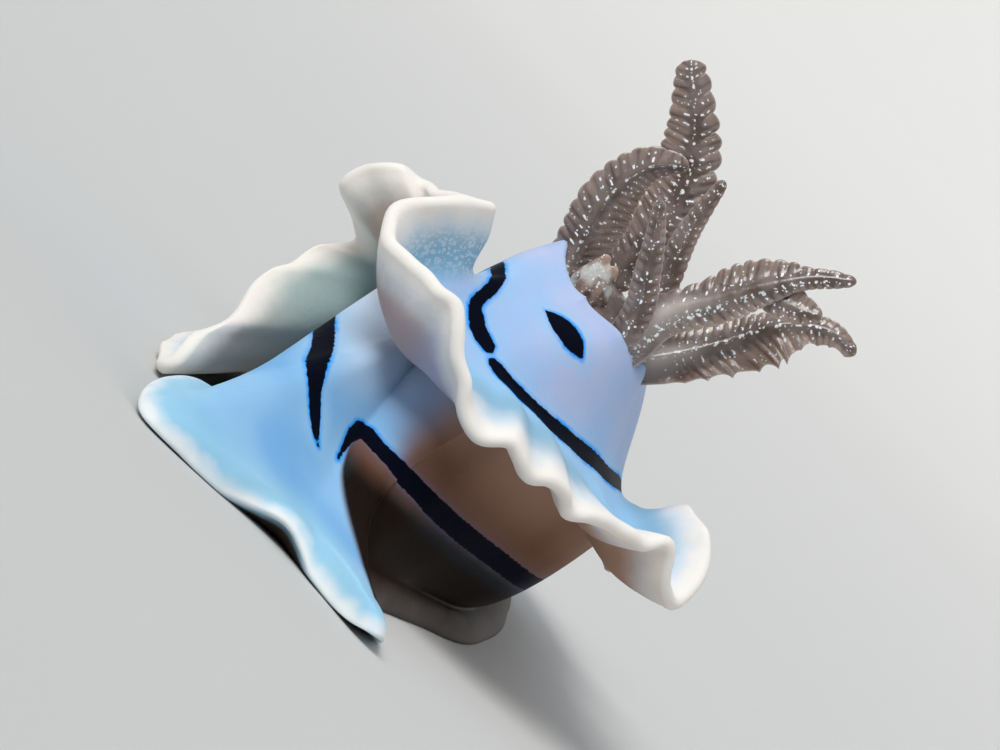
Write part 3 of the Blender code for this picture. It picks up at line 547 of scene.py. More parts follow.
# %% Distance from the nearest line
def find_line_distance():
    """Distance of every point of the skin from the nearest black mark's edge."""
    found = np.full(rows.shape[:2], FAR_FROM_LINES)
    top, flank = slice(0, starts[1]), slice(starts[3] - 4, starts[4])
    for table in (LEFT_LINE, RIGHT_LINE):
        found[top] = np.minimum(found[top], distance_from_path(rows[top], *line_path(table, on_mantle)))
    found[top] = np.minimum(found[top], distance_from_spot(rows[top]))
    for table in (LEFT_STRIPE, RIGHT_STRIPE):
        found[flank] = np.minimum(found[flank], distance_from_path(rows[flank], *line_path(table, on_flank)))
    return found


line_distance = find_line_distance()
print("share of the skin that is black:", round(float((line_distance < 0).mean()), 4))

# %% [markdown]
# ## Zones of colour
#
# The flank in the lee of the mantle, the underside of the mantle above it and the sole under the lifted tail
# are painted with brown shade, while the open left flank and the tail are a strong clear blue. These zones
# have no sharp edge, so each is a soft mask from 0 to 1 stored at the points.

# %% Masks of the zones
def smooth(low, high, value):
    """A smooth rise from 0 at low to 1 at high."""
    share = np.clip((value - low) / (high - low), 0, 1)
    return share * share * (3 - 2 * share)


SHADE_BORDER = (  # height, bearing
    (0.5, 188.0), (0.86, 185.0), (1.13, 180.4), (1.5, 177.0), (2.1, 171.7), (2.6, 169.0),
)


def zone_masks():
    """Masks of the upper side, the skirt outside the line, the painted brown shade and the clear blue."""
    row = np.arange(len(rows))[:, None]
    turn = bearings[None, :]
    top = (row < starts[1] + RIM_ROWS // 2).astype(float) * np.ones_like(turn)
    step = np.clip(row / (TOP_ROWS - 1) * 4, 0, 4)
    skirt = smooth(1.9, 2.6, step) * top
    high = rows[:, :, 2]
    border = np.interp(high, *zip(*SHADE_BORDER))
    below_stripe = smooth(0.0, 2.5, turn - border)
    above_stripe = smooth(178, 192, turn) * np.ones_like(high)
    upper_part = smooth(2.9, 3.3, high)
    right = below_stripe * (1 - upper_part) + above_stripe * upper_part
    right = right * (1 - smooth(325, 350, turn))
    below = 1 - top
    flank = smooth(starts[3] - 6, starts[3] + 5, row)
    # Painted shade: brown under the mantle and on the right flank, and a little under the fold.
    under_mantle = below * (1 - flank) * smooth(0.35, 1.6, rim_distance)
    fold_shade = smooth(128, 140, turn) * (1 - smooth(174, 186, turn)) * 0.75
    near_joint = 1 - smooth(0.0, 0.22, (row - starts[3]) / FLANK_ROWS)
    shade = under_mantle * (right + fold_shade) + flank * (right + near_joint * fold_shade * 0.35)
    # Painted shadow on the sole under the tail's lifted margin.
    shadow_under_tail_margin = smooth(160, 166, turn) * (1 - smooth(188, 194, turn))
    shade = np.where(row > starts[5], shadow_under_tail_margin, shade)
    blue = flank * (1 - right) * (1 - near_joint * 0.3)
    underside = below * (1 - flank * smooth(116, 130, turn)) * (1 - smooth(150, 180, turn))
    return {"upper": top, "skirt": skirt, "shade": np.clip(shade, 0, 1), "clear_blue": np.clip(blue, 0, 1),
            "underside": underside}


zones = zone_masks()
print("zones:", {key: round(float(value.mean()), 3) for key, value in zones.items()})

# %% [markdown]
# ## From rows to a mesh
#
# Blender's grid operator gives the faces, and each of its vertices is then moved to its place in the rows.
# The first and last columns meet, and so do the two halves of the midline, so doubles are merged there. What
# is left is one closed skin with no seam.

# %% Build the skin
def wrapped_grid(points, name, values):
    """A closed mesh through rows of points round an axis, with named values stored at its points."""
    height, width = points.shape[:2]
    shape = bmesh.new()
    bmesh.ops.create_grid(shape, x_segments=width, y_segments=height - 1, size=0.5)
    layers = {key: shape.verts.layers.float.new(key) for key in values}
    for vertex in shape.verts:
        column = round((vertex.co.x + 0.5) * width) % width
        row = round((vertex.co.y + 0.5) * (height - 1))
        vertex.co = Vector(points[row, column]) * MM
        for key, layer in layers.items():
            vertex[layer] = float(values[key][row, column])
    bmesh.ops.remove_doubles(shape, verts=shape.verts, dist=0.0002 * MM)
    bmesh.ops.recalc_face_normals(shape, faces=shape.faces)
    mesh = bpy.data.meshes.new(name)
    shape.to_mesh(mesh)
    open_edges = sum(1 for edge in shape.edges if len(edge.link_faces) != 2)
    shape.free()
    mesh.shade_smooth()
    print(name, "faces:", len(mesh.polygons), "open edges:", open_edges)
    return mesh


def add_piece(name, mesh, finish, slot, *nodes):
    """A named piece that stands for CAD nodes and rides on the animal's one body."""
    made = bpy.data.objects.new(name, mesh)
    bpy.context.scene.collection.objects.link(made)
    mesh.materials.clear()
    mesh.materials.append(finish)
    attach(made, "root")
    if nodes:
        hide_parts(*nodes)
    return made


skin_mesh = wrapped_grid(rows, "skin", {
    "rim_distance": np.minimum(rim_distance, 6.0),
    "lip_distance": np.minimum(lip_distance, 6.0),
    "line_distance": line_distance,
    **zones,
})

# %% [markdown]
# ## Building blocks for the finishes
#
# Wet skin scatters light under its surface, so every finish has some subsurface light. Two effects are shared
# by several finishes and are therefore node groups: a fine grain that feeds a bump, and scattered flecks.

# %% Start a finish
def put(tree, socket, value):
    """Feeds a socket from another one, or sets it to a number or a colour."""
    if isinstance(value, bpy.types.NodeSocket):
        tree.links.new(value, socket)
    else:
        socket.default_value = (*value, 1.0) if isinstance(value, tuple) else value


def new_finish(name, colour, roughness, subsurface=0.0, depth=(1.0, 0.7, 0.6), scale=0.5, specular=0.5,
               coat=0.0, index=1.45):
    """A material with soft light under the surface, its node tree and its shader."""
    made = bpy.data.materials.new(name)
    made.use_nodes = True
    shader = made.node_tree.nodes["Principled BSDF"]
    shader.inputs["Base Color"].default_value = (*colour, 1.0)
    shader.inputs["Subsurface Radius"].default_value = depth
    for key, value in (("Roughness", roughness), ("Subsurface Weight", subsurface),
                       ("Subsurface Scale", scale * MM), ("Specular IOR Level", specular), ("IOR", index),
                       ("Coat Weight", coat), ("Coat Roughness", 0.12)):
        shader.inputs[key].default_value = value
    return made, made.node_tree, shader


print("finishes so far:", len([one for one in bpy.data.materials if one.name.endswith("_finish")]))

# %% Values, sums and mixtures
def attribute(tree, name):
    """A stored value of the mesh."""
    node = tree.nodes.new("ShaderNodeAttribute")
    node.attribute_name = name
    return node.outputs["Fac"]


def ramp(tree, value, low, high, start=0.0, end=1.0):
    """A value moved smoothly from one range into another."""
    node = tree.nodes.new("ShaderNodeMapRange")
    node.interpolation_type = "SMOOTHSTEP"
    put(tree, node.inputs["Value"], value)
    for key, limit in (("From Min", low), ("From Max", high), ("To Min", start), ("To Max", end)):
        node.inputs[key].default_value = limit
    return node.outputs["Result"]


def maths(tree, operation, first, second):
    """One sum of two values; each is a socket or a number."""
    node = tree.nodes.new("ShaderNodeMath")
    node.operation = operation
    put(tree, node.inputs[0], first)
    put(tree, node.inputs[1], second)
    return node.outputs["Value"]


def times(tree, *factors):
    """The product of two or more values."""
    product = factors[0]
    for factor in factors[1:]:
        product = maths(tree, "MULTIPLY", product, factor)
    return product


def layered(tree, colour, *layers):
    """A colour with others laid over it in turn, each through its own mask."""
    for mask, laid in layers:
        node = tree.nodes.new("ShaderNodeMix")
        node.data_type = "RGBA"
        put(tree, node.inputs["Factor"], mask)
        for key, given in (("A", colour), ("B", laid)):
            put(tree, next(one for one in node.inputs if one.name == key and one.type == "RGBA"), given)
        colour = next(one for one in node.outputs if one.type == "RGBA")
    return colour


print("ready: attributes, ramps, sums, products and layers")

# %% Patterns by place, and the shared groups
def noise(tree, size, detail=2.0):
    """Soft noise whose patches are about as wide as the size, in millimetres."""
    place = tree.nodes.new("ShaderNodeTexCoord")
    node = tree.nodes.new("ShaderNodeTexNoise")
    node.inputs["Scale"].default_value = 1 / (size * MM)
    node.inputs["Detail"].default_value = detail
    tree.links.new(place.outputs["Object"], node.inputs["Vector"])
    return node.outputs["Fac"]


def height_above_floor(tree):
    """The height of the point being shaded, in millimetres."""
    place = tree.nodes.new("ShaderNodeTexCoord")
    split = tree.nodes.new("ShaderNodeSeparateXYZ")
    tree.links.new(place.outputs["Object"], split.inputs["Vector"])
    return maths(tree, "DIVIDE", split.outputs["Z"], MM)


def new_group(name, inputs, outputs):
    """An empty node group with named values in and out."""
    group = bpy.data.node_groups.new(name, "ShaderNodeTree")
    for key, value in inputs.items():
        socket = group.interface.new_socket(name=key, in_out="INPUT", socket_type="NodeSocketFloat")
        socket.default_value = value
    for key in outputs:
        group.interface.new_socket(name=key, in_out="OUTPUT", socket_type="NodeSocketFloat")
    return group, group.nodes.new("NodeGroupInput"), group.nodes.new("NodeGroupOutput")


def make_grain_group():
    """Fine grain for bumps: small soft lumps mixed with a finer noise."""
    group, given, result = new_group("skin_grain", {"Scale": 3000.0}, ("Height",))
    place = group.nodes.new("ShaderNodeTexCoord")
    lumps = group.nodes.new("ShaderNodeTexVoronoi")
    fine = group.nodes.new("ShaderNodeTexNoise")
    for node in (lumps, fine):
        group.links.new(place.outputs["Object"], node.inputs["Vector"])
    group.links.new(given.outputs["Scale"], lumps.inputs["Scale"])
    group.links.new(times(group, given.outputs["Scale"], 2.3), fine.inputs["Scale"])
    height = maths(group, "ADD", lumps.outputs["Distance"], fine.outputs["Fac"])
    group.links.new(height, result.inputs["Height"])
    return group


def make_fleck_group():
    """Scattered round flecks: small spots about the seeds of a cell pattern, some larger than others."""
    group, given, result = new_group("flecks", {"Scale": 5000.0, "Size": 0.3}, ("Mask",))
    place = group.nodes.new("ShaderNodeTexCoord")
    cells = group.nodes.new("ShaderNodeTexVoronoi")
    group.links.new(place.outputs["Object"], cells.inputs["Vector"])
    group.links.new(given.outputs["Scale"], cells.inputs["Scale"])
    split = group.nodes.new("ShaderNodeSeparateColor")
    group.links.new(cells.outputs["Color"], split.inputs["Color"])
    limit = times(group, given.outputs["Size"], split.outputs["Red"])
    edge = maths(group, "SUBTRACT", limit, cells.outputs["Distance"])
    group.links.new(ramp(group, edge, -0.03, 0.05), result.inputs["Mask"])
    return group


GRAIN = make_grain_group()
FLECKS = make_fleck_group()
print("shared groups:", [group.name for group in (GRAIN, FLECKS)])

# %% Use a shared group
def use_group(tree, group, **values):
    """A node of a shared group with its own values; a value is a socket or a number."""
    node = tree.nodes.new("ShaderNodeGroup")
    node.node_tree = group
    for key, value in values.items():
        put(tree, node.inputs[key], value)
    return node.outputs[0]


def finish_off(tree, shader, colour, grain, strength, depth):
    """Gives the shader its colour and a grain of some scale, as a bump of some depth in millimetres."""
    tree.links.new(colour, shader.inputs["Base Color"])
    node = tree.nodes.new("ShaderNodeBump")
    node.inputs["Strength"].default_value = strength
    node.inputs["Distance"].default_value = depth * MM
    tree.links.new(use_group(tree, GRAIN, Scale=grain), node.inputs["Height"])
    tree.links.new(node.outputs["Normal"], shader.inputs["Normal"])


print("ready: shared groups in a finish, and its last touches")

# %% [markdown]
# ## The skin's finish
#
# Colours are laid over each other in turn: lilac blue on the back, clearer blue on the flank and outside the
# line, painted brown shade under the mantle and on the right flank, a grainy zone, the cream rim, electric
# blue along the lines and last the black of the lines themselves.

# %% Colours of the skin
LILAC = (0.37, 0.54, 0.82)
PINKISH = (0.46, 0.54, 0.77)
SKIRT_BLUE = (0.30, 0.56, 0.82)
FLANK_BLUE = (0.18, 0.42, 0.74)
PALE_FLANK = (0.27, 0.51, 0.77)
HIGH_FLANK = (0.54, 0.68, 0.86)
TURQUOISE = (0.34, 0.62, 0.76)
TAIL_EDGE = (0.82, 0.85, 0.85)
GREY_BLUE = (0.24, 0.42, 0.54)
GREY_GREEN = (0.39, 0.49, 0.47)
GREY_BROWN = (0.42, 0.37, 0.32)
CREAM = (0.86, 0.82, 0.76)
# Painted shade: pink brown, brown, deep brown low down, and dark grey on the foot's edge.
PAINTED_SHADE_PINK = (0.46, 0.29, 0.22)
PAINTED_SHADE_BROWN = (0.17, 0.08, 0.05)
PAINTED_DEEP_SHADE = (0.012, 0.008, 0.006)
PAINTED_FOOT_SHADE = (0.055, 0.04, 0.034)
ELECTRIC = (0.02, 0.33, 0.95)
BLACK = (0.003, 0.004, 0.010)
WHITE_GRAIN = (0.80, 0.86, 0.88)


print("the back's blue:", LILAC, "and the lines' black:", BLACK)

# %% Colours of the flank and of the shade
def flank_colour(tree, lip):
    """Blue patches on the flank, paler high up and turquoise near the foot's edge."""
    high = height_above_floor(tree)
    return layered(
        tree, FLANK_BLUE,
        (ramp(tree, noise(tree, 4.0, 1.0), 0.4, 0.62), PALE_FLANK),
        (ramp(tree, high, 3.0, 5.2), HIGH_FLANK),
        (ramp(tree, lip, 0.6, 3.4, 0.75, 0.0), TURQUOISE))


def shade_colour(tree, rim, lip):
    """The painted brown shade of the flank, painted deeper low down and dark grey and streaky on the foot."""
    streaky = ramp(tree, maths(tree, "ADD", lip, times(tree, noise(tree, 1.1), 0.9)), 0.7, 1.9, 1.0, 0.0)
    return layered(
        tree, PAINTED_SHADE_PINK,
        (ramp(tree, rim, 2.2, 5.2), PAINTED_SHADE_BROWN),
        (ramp(tree, height_above_floor(tree), 2.15, 2.95, 1.0, 0.0), PAINTED_DEEP_SHADE),
        (streaky, PAINTED_FOOT_SHADE))


print("ready: the colours that two layers of the skin are mixed from")

# %% Skin finish
def make_skin_finish():
    """The whole skin, from the colour of the back to the black lines."""
    made, tree, shader = new_finish("skin_finish", LILAC, 0.45, subsurface=0.4, scale=0.5, specular=0.15,
                                    index=1.12)
    rim = attribute(tree, "rim_distance")
    lip = attribute(tree, "lip_distance")
    shade = attribute(tree, "shade")
    high = height_above_floor(tree)
    drape = layered(tree, GREY_BROWN, (ramp(tree, high, 1.6, 4.2), GREY_GREEN))
    grainy = times(tree, ramp(tree, rim, 0.7, 1.4), ramp(tree, rim, 1.9, 3.2, 1.0, 0.0),
                   attribute(tree, "upper"))
    dots = times(tree, use_group(tree, FLECKS, Scale=9500.0, Size=0.8), grainy,
                 ramp(tree, high, 6.6, 7.8, 0.0, 0.36))
    uneven = times(tree, noise(tree, 0.6, 1.0), 0.5)
    # In the painted shade the tail's white margin fades away.
    margin = times(tree, ramp(tree, maths(tree, "ADD", lip, uneven), 0.1, 0.95, 1.0, 0.0),
                   maths(tree, "SUBTRACT", 1.0, times(tree, shade, 0.97)))
    wobble = times(tree, maths(tree, "SUBTRACT", noise(tree, 0.16), 0.5), 0.10)
    edge = maths(tree, "ADD", attribute(tree, "line_distance"), wobble)
    # The blue along the lines fades in the painted shade too.
    outside_painted_shade = maths(tree, "SUBTRACT", 1.0, times(tree, shade, 0.93))
    colour = layered(
        tree, LILAC,
        (ramp(tree, noise(tree, 2.2), 0.35, 0.68), PINKISH),
        (attribute(tree, "skirt"), SKIRT_BLUE),
        (attribute(tree, "clear_blue"), flank_colour(tree, lip)),
        (attribute(tree, "underside"), drape),
        # Painted brown shade under the mantle and on the right flank.
        (shade, shade_colour(tree, rim, lip)),
        (times(tree, grainy, 0.75), GREY_BLUE),
        (dots, WHITE_GRAIN),
        (ramp(tree, maths(tree, "ADD", rim, uneven), 0.6, 2.1, 1.0, 0.0), CREAM),
        (margin, TAIL_EDGE),
        (times(tree, ramp(tree, edge, 0.08, 0.7, 0.45, 0.0), outside_painted_shade), SKIRT_BLUE),
        (times(tree, ramp(tree, edge, 0.0, 0.16, 1.0, 0.0), outside_painted_shade,
               ramp(tree, noise(tree, 1.3, 1.0), 0.36, 0.58, 0.4, 1.0)), ELECTRIC),
        (ramp(tree, edge, -0.025, 0.015, 1.0, 0.0), BLACK))
    finish_off(tree, shader, colour, 5500.0, 0.25, 0.02)
    return made


skin_finish = make_skin_finish()
SKIN_NODES = ("mantle_rear", "mantle_middle", "mantle_front", "body_rear", "body_middle", "head",
              "foot_rear", "foot_middle", "foot_front", "tail")
add_piece("skin", skin_mesh, skin_finish, "skin", *SKIN_NODES)
print("the skin stands for", len(SKIN_NODES), "nodes")

# %% [markdown]
# ## The gills' finish
#
# Gill flesh is thin and clear: brownish where it is thick, wet and shiny, and strewn with white flecks. A
# glow of light through the thin edges is painted on, and so are glints in short streaks on the crests of the
# ribs. The flecks follow the ribs and the stem, so the finish reads where those lie from values that are
# stored with each gill's points.

# %% Gill finish
GILL_BROWN = (0.11, 0.072, 0.056)
GILL_GREY = (0.21, 0.16, 0.14)
PALE_STEM = (0.60, 0.54, 0.50)
PALE_EDGE = (0.38, 0.32, 0.29)
# White of the flecks; on the gills it also makes painted glints.
WHITE_FLECKS_AND_GLINTS = (0.90, 0.96, 1.0)


def make_gill_finish():
    """Brown flesh, pale ribs and stems, painted glow at the edges, and white flecks with painted glints."""
    made, tree, shader = new_finish("gill_finish", GILL_BROWN, 0.28, subsurface=0.5, depth=(1.0, 0.75, 0.6),
                                    scale=0.3, specular=0.6, coat=0.5)
    patchy = ramp(tree, noise(tree, 0.45, 1.0), 0.4, 0.56, 0.35, 1.0)
    broken = ramp(tree, noise(tree, 0.14, 1.0), 0.42, 0.5)
    # Short streaks on the rib crests: white flecks with painted glints.
    fleck_glint_streaks = ramp(tree, times(tree, attribute(tree, "fleck_glint_streak"), broken, patchy), 0.35, 0.6)
    dots = use_group(tree, FLECKS, Scale=9000.0, Size=0.75)
    cluster = times(tree, dots, ramp(tree, attribute(tree, "fleck"), 0.3, 0.75))
    strewn = times(tree, use_group(tree, FLECKS, Scale=6000.0, Size=0.2), patchy)
    colour = layered(
        tree, GILL_BROWN,
        (ramp(tree, noise(tree, 0.7), 0.38, 0.62), GILL_GREY),
        (ramp(tree, attribute(tree, "rib"), 0.35, 0.9, 0.0, 0.4), PALE_EDGE),
        (times(tree, attribute(tree, "stem"), 0.9), PALE_STEM),
        (ramp(tree, attribute(tree, "root"), 0.3, 1.0, 0.0, 0.6), GREY_BLUE),
        # Painted glow and glint of light along the thin edges.
        (ramp(tree, attribute(tree, "thin_edge_glow"), 0.35, 1.0, 0.0, 0.8), PALE_EDGE),
        (maths(tree, "MAXIMUM", maths(tree, "MAXIMUM", fleck_glint_streaks, cluster), strewn), WHITE_FLECKS_AND_GLINTS))
    finish_off(tree, shader, colour, 9000.0, 0.3, 0.012)
    return made


gill_finish = make_gill_finish()
print("finishes:", skin_finish.name, gill_finish.name)

# %% [markdown]
# ## Gills
#
# The gills are a ring of feathers round the vent. Each has a fleshy stem with a row of thin leaflets on
# either side, and the leaflets lie so close that they join into a ribbed blade with a scalloped or toothed
# edge. The blade could be built leaflet by leaflet, but they would look like separate scales. So each gill is
# one closed ring of points swept along its route: widths come from a table, and waves along the route make
# the ribs, the lobes and the notches.

# %% Routes of the gills
GILLS = {  # the way it faces, its route
    "gill_rear_inner": (180, ((-1.8, -1.05, 9.3), (-1.95, -0.85, 10.3), (-2.0, -0.3, 11.2), (-2.0, 0.25, 12.05),
                              (-2.0, 0.9, 12.9))),
    "gill_rear_right": (181, ((-0.2, -1.25, 9.4), (-0.15, -0.9, 11.1), (-0.15, -0.35, 12.6), (-0.1, 0.0, 14.5))),
    "gill_right_rear": (160, ((-1.0, -1.3, 9.3), (-1.1, -1.4, 10.5), (-1.15, -2.2, 11.95), (-1.15, -3.0, 13.35),
                              (-1.1, -3.7, 14.35), (-1.05, -4.6, 15.12))),
    "gill_right_front": (150, ((0.5, -2.0, 9.2), (0.7, -2.7, 10.2), (0.9, -3.4, 11.4), (0.9, -4.1, 12.75),
                               (0.9, -5.3, 13.6), (0.9, -6.1, 13.6))),
    "gill_front_right": (150, ((1.35, -1.2, 9.4), (1.9, -1.7, 10.8), (2.5, -2.4, 12.3), (2.9, -3.0, 13.6))),
    "gill_front": (180, ((1.5, 0.25, 9.4), (1.9, 0.25, 11.7), (2.05, 0.6, 13.4), (2.0, 1.5, 14.8),
                         (1.8, 3.1, 16.22))),
    "gill_front_left": (200, ((0.95, 1.4, 9.45), (1.8, 1.7, 10.5), (2.95, 1.9, 11.6), (3.9, 2.0, 12.6))),
    "gill_left": (205, ((-0.2, 1.4, 9.4), (-0.35, 1.8, 10.7), (-0.4, 2.05, 12.0), (-0.4, 1.8, 13.3),
                        (-0.4, 1.0, 14.1))),
}
print("gills:", len(GILLS))

# %% Outlines and edges of the gills
FINE_LOBES = (0.27, 0.13, 0.01, 0)  # pitch, depth of the notches, height of the lobes, 1 if pointed
SCALLOPS = (0.56, 0.34, 0.12, 0)
SMALL_SCALLOPS = (0.42, 0.2, 0.06, 0)
TEETH = (0.62, 0.24, 0.03, 1)
SLENDER = ((0, 0.33, 0.33), (0.3, 0.44, 0.44), (0.6, 0.4, 0.4), (0.85, 0.27, 0.27), (1, 0.16, 0.16))
LEAFY = ((0, 0.35, 0.35), (0.3, 0.55, 0.55), (0.6, 0.62, 0.62), (0.85, 0.4, 0.4), (1, 0.2, 0.2))
# Each row holds the smooth length, the stem at the root and at the tip, the fold, the place of the flecks, the
# lobes on the right and on the left, and the outline, which is a table of share, right and left width.
BLADES = {
    "gill_rear_inner": (1.2, 0.32, 0.08, -0.1, 0.0, FINE_LOBES, FINE_LOBES, SLENDER),
    "gill_rear_right": (1.2, 0.36, 0.09, -0.1, 0.0, FINE_LOBES, FINE_LOBES, SLENDER),
    "gill_right_rear": (2.6, 0.62, 0.12, 0.05, 0.75, FINE_LOBES, SMALL_SCALLOPS, (
        (0, 0.5, 0.5), (0.25, 0.66, 0.6), (0.45, 0.7, 0.66), (0.58, 0.66, 0.88), (0.7, 0.48, 0.82),
        (0.78, 0.34, 0.6), (0.84, 0.32, 0.34), (0.92, 0.28, 0.26), (1, 0.14, 0.14))),
    "gill_right_front": (2.6, 0.55, 0.1, 0.05, 0.0, TEETH, FINE_LOBES, (
        (0, 0.45, 0.5), (0.15, 0.6, 0.75), (0.35, 0.95, 0.85), (0.55, 1.2, 0.7), (0.71, 1.2, 0.46),
        (0.78, 0.7, 0.42), (0.88, 0.46, 0.36), (1, 0.22, 0.18))),
    "gill_front_right": (1.0, 0.34, 0.1, 0.1, 0.0, SMALL_SCALLOPS, SMALL_SCALLOPS, LEAFY),
    "gill_front": (1.0, 0.38, 0.14, 0.12, 0.0, SCALLOPS, SMALL_SCALLOPS, (
        (0, 0.36, 0.36), (0.15, 0.45, 0.55), (0.35, 0.64, 0.85), (0.55, 0.8, 1.0), (0.7, 0.84, 0.98),
        (0.85, 0.6, 0.74), (0.94, 0.5, 0.55), (1, 0.36, 0.38))),
    "gill_front_left": (1.0, 0.34, 0.1, 0.1, 0.0, SMALL_SCALLOPS, SMALL_SCALLOPS, LEAFY),
    "gill_left": (1.0, 0.42, 0.12, -0.22, 0.1, FINE_LOBES, SMALL_SCALLOPS, (
        (0, 0.34, 0.34), (0.15, 0.6, 0.42), (0.3, 1.05, 0.56), (0.5, 1.3, 0.7), (0.72, 0.88, 0.64),
        (0.9, 0.4, 0.44), (1, 0.2, 0.2))),
}
print("blades with an outline of their own:", sum(len(form[-1]) > 5 for form in BLADES.values()))

# %% A route and the waves along an edge
BLADE_ROWS = 280
BLADE_POINTS = 56
RIB_PITCH = 0.27
RIB_HEIGHT = 0.024
LEAFLET_SLANT = 0.45
EDGE_THICKNESS = 0.035
ROOT_DEPTH = 0.9
ROOT_FLARE = 0.3
TIP_ROUNDING = 0.22


def route_frames(route, facing, count):
    """Points along a smooth route, the ways to the side and to the face there, and its length."""
    route = np.array(route)
    knots = np.concatenate([[0.0], np.cumsum(np.linalg.norm(np.diff(route, axis=0), axis=1))])
    line = curve_through(knots, route, np.linspace(0.0, knots[-1], count))
    along = unit(np.gradient(line, axis=0))
    face = np.array([math.cos(math.radians(facing)), math.sin(math.radians(facing)), 0.0])
    across = unit(np.cross(along, face))
    return line, across, unit(np.cross(across, along)), knots[-1]


def lobes_along(place, pitch, pointed):
    """Waves along an edge, from 0 in the notches to 1 on the lobes, a little uneven in their spacing."""
    wave = np.abs(np.sin(math.pi * (place + 0.05 * np.sin(place * 2.9)) / pitch))
    return 1 - wave**0.7 if pointed else wave**0.55


print("lobes halfway up a notch:", round(float(lobes_along(RIB_PITCH / 4, RIB_PITCH, 0)), 2))

# %% The points of a gill
def blade_rows(frames, form, flare=0.0):
    """Rows of points of one gill, and the values that its finish reads."""
    smooth_length, root_stem, tip_stem, fold, fleck_place, right_lobes, left_lobes, outline = form
    line, across, face, length = frames
    place = np.linspace(0, length, len(line))[:, None]
    share = place / length
    turn = np.linspace(0, 2 * math.pi, BLADE_POINTS, endpoint=False)[None]
    side, front = np.sign(np.cos(turn)), np.sign(np.sin(turn))
    out = np.abs(np.cos(turn)) ** 0.9
    knots, *widths = zip(*outline)
    right, left = curve_through(knots, np.array(widths).T, share[:, 0]).T
    end = np.sqrt(1 - np.clip(1 - (length - place) / TIP_ROUNDING, 0, 1) ** 2)
    swelling = (1 + flare * np.exp(-((place / 1.3) ** 2))) * end
    width = np.where(side > 0, right[:, None], left[:, None]) * swelling
    stem = np.maximum((root_stem + (tip_stem - root_stem) * share**0.8) * swelling, 0.02)
    grown = smooth(0.55 * smooth_length, 1.25 * smooth_length, place)
    body = np.exp(-1.1 * (out * width / stem) ** 2)
    leafy = (1 - body) ** 1.3 * (0.15 + 0.85 * grown)
    uneven = 0.75 + 0.25 * np.sin(place * 5.3 + 1.5 * side) * np.sin(place * 2.1)
    swell = np.zeros_like(width)
    notch = np.zeros_like(width)
    for mask, (pitch, depth, height, pointed) in ((side > 0, right_lobes), (side <= 0, left_lobes)):
        lobes = lobes_along(place - LEAFLET_SLANT * out * width, pitch, pointed)
        swell = np.where(mask, height * (lobes - 0.6), swell)
        edge = lobes_along(place - LEAFLET_SLANT * width, pitch, pointed)
        notch = np.where(mask, depth * (1 - edge), notch)
    width = width * (1 - notch * grown * uneven)
    ribs = lobes_along(place - LEAFLET_SLANT * out * width, RIB_PITCH, 0)
    band = np.clip((1 - out) / 0.08, 0, 1) * leafy
    thick = EDGE_THICKNESS * end + (stem * 0.85 - EDGE_THICKNESS * end) * body
    raised = (RIB_HEIGHT * (ribs - 0.6) + swell) * band * uneven
    height = front * (thick * np.abs(np.sin(turn)) ** 0.6 + raised) + fold * width * out**1.6
    x = side * out * width
    ring = line[:, None] + across[:, None] * x[..., None] + face[:, None] * height[..., None]
    ring[-1] = line[-1]
    first = np.repeat(line[:1], BLADE_POINTS, axis=0)
    last = np.repeat(line[-1:], BLADE_POINTS, axis=0)
    crest = np.clip((ribs - 0.945) / 0.035, 0, 1)
    inner_row = np.exp(-(((out - 0.34) / 0.13) ** 4))
    outer_row = np.exp(-(((out - 0.68) / 0.08) ** 4))
    grown_stem = smooth(0.7, 1.6, place) * (1 - smooth(0.45, 0.7, share))
    centre = np.exp(-(((x / stem - fleck_place) / 0.3) ** 2)) * (front >= 0)
    # The thin edge's value places a painted glow of light along the gills' edges.
    values = {"rib": ribs * band, "thin_edge_glow": np.clip((out - 0.86) / 0.14, 0, 1) * np.ones_like(x),
              # Streaks on the rib crests, for white flecks with painted glints.
              "fleck_glint_streak": crest * np.maximum(inner_row, outer_row * 0.8) * (0.5 + 0.5 * grown),
              "fleck": centre * np.clip(ribs * 2.5 - 0.9, 0.35, 1),
              "stem": np.clip((stem - 0.3) / 0.12, 0, 1) * np.exp(-((x / stem / 0.8) ** 2)) * grown_stem,
              "root": flare / ROOT_FLARE * np.exp(-((place / 1.35) ** 2)) * np.ones_like(x)}
    values = {key: np.concatenate([value[:1], value, value[-1:]]) for key, value in values.items()}
    return np.concatenate([[first], ring, [last]]), values


print("points round a gill:", BLADE_POINTS)

# %% Make the gills
BRANCH = ((-1.15, -2.7, 13.05), (-1.1, -3.4, 13.2), (-1.1, -4.0, 13.4), (-1.1, -4.62, 13.75))
BRANCH_OUTLINE = ((0, 0.25, 0.25), (0.3, 0.46, 0.56), (0.65, 0.42, 0.56), (1, 0.2, 0.2))
BRANCH_FORM = (0.4, 0.24, 0.1, 0.05, 0.0, FINE_LOBES, SMALL_SCALLOPS, BRANCH_OUTLINE)


def make_gill(name, finish):
    """One gill in one piece; the forked one takes a branch with it."""
    facing, route = GILLS[name]
    root = np.array(route[0])
    inward = np.array([*POCKET_CENTRE, root[2]]) - root
    start = root + inward * 0.45 - np.array([0.0, 0.0, ROOT_DEPTH])
    frames = route_frames((tuple(start),) + route, facing, BLADE_ROWS)
    points, values = blade_rows(frames, BLADES[name], ROOT_FLARE)
    mesh = wrapped_grid(points, name, values)
    if name == "gill_right_rear":
        points, values = blade_rows(route_frames(BRANCH, facing, 70), BRANCH_FORM)
        twig = wrapped_grid(points, name + "_twig", values)
        shape = bmesh.new()
        shape.from_mesh(mesh)
        shape.from_mesh(twig)
        shape.to_mesh(mesh)
        shape.free()
        bpy.data.meshes.remove(twig)
        mesh.shade_smooth()
    return add_piece(name + "_feather", mesh, finish, "gill", name)


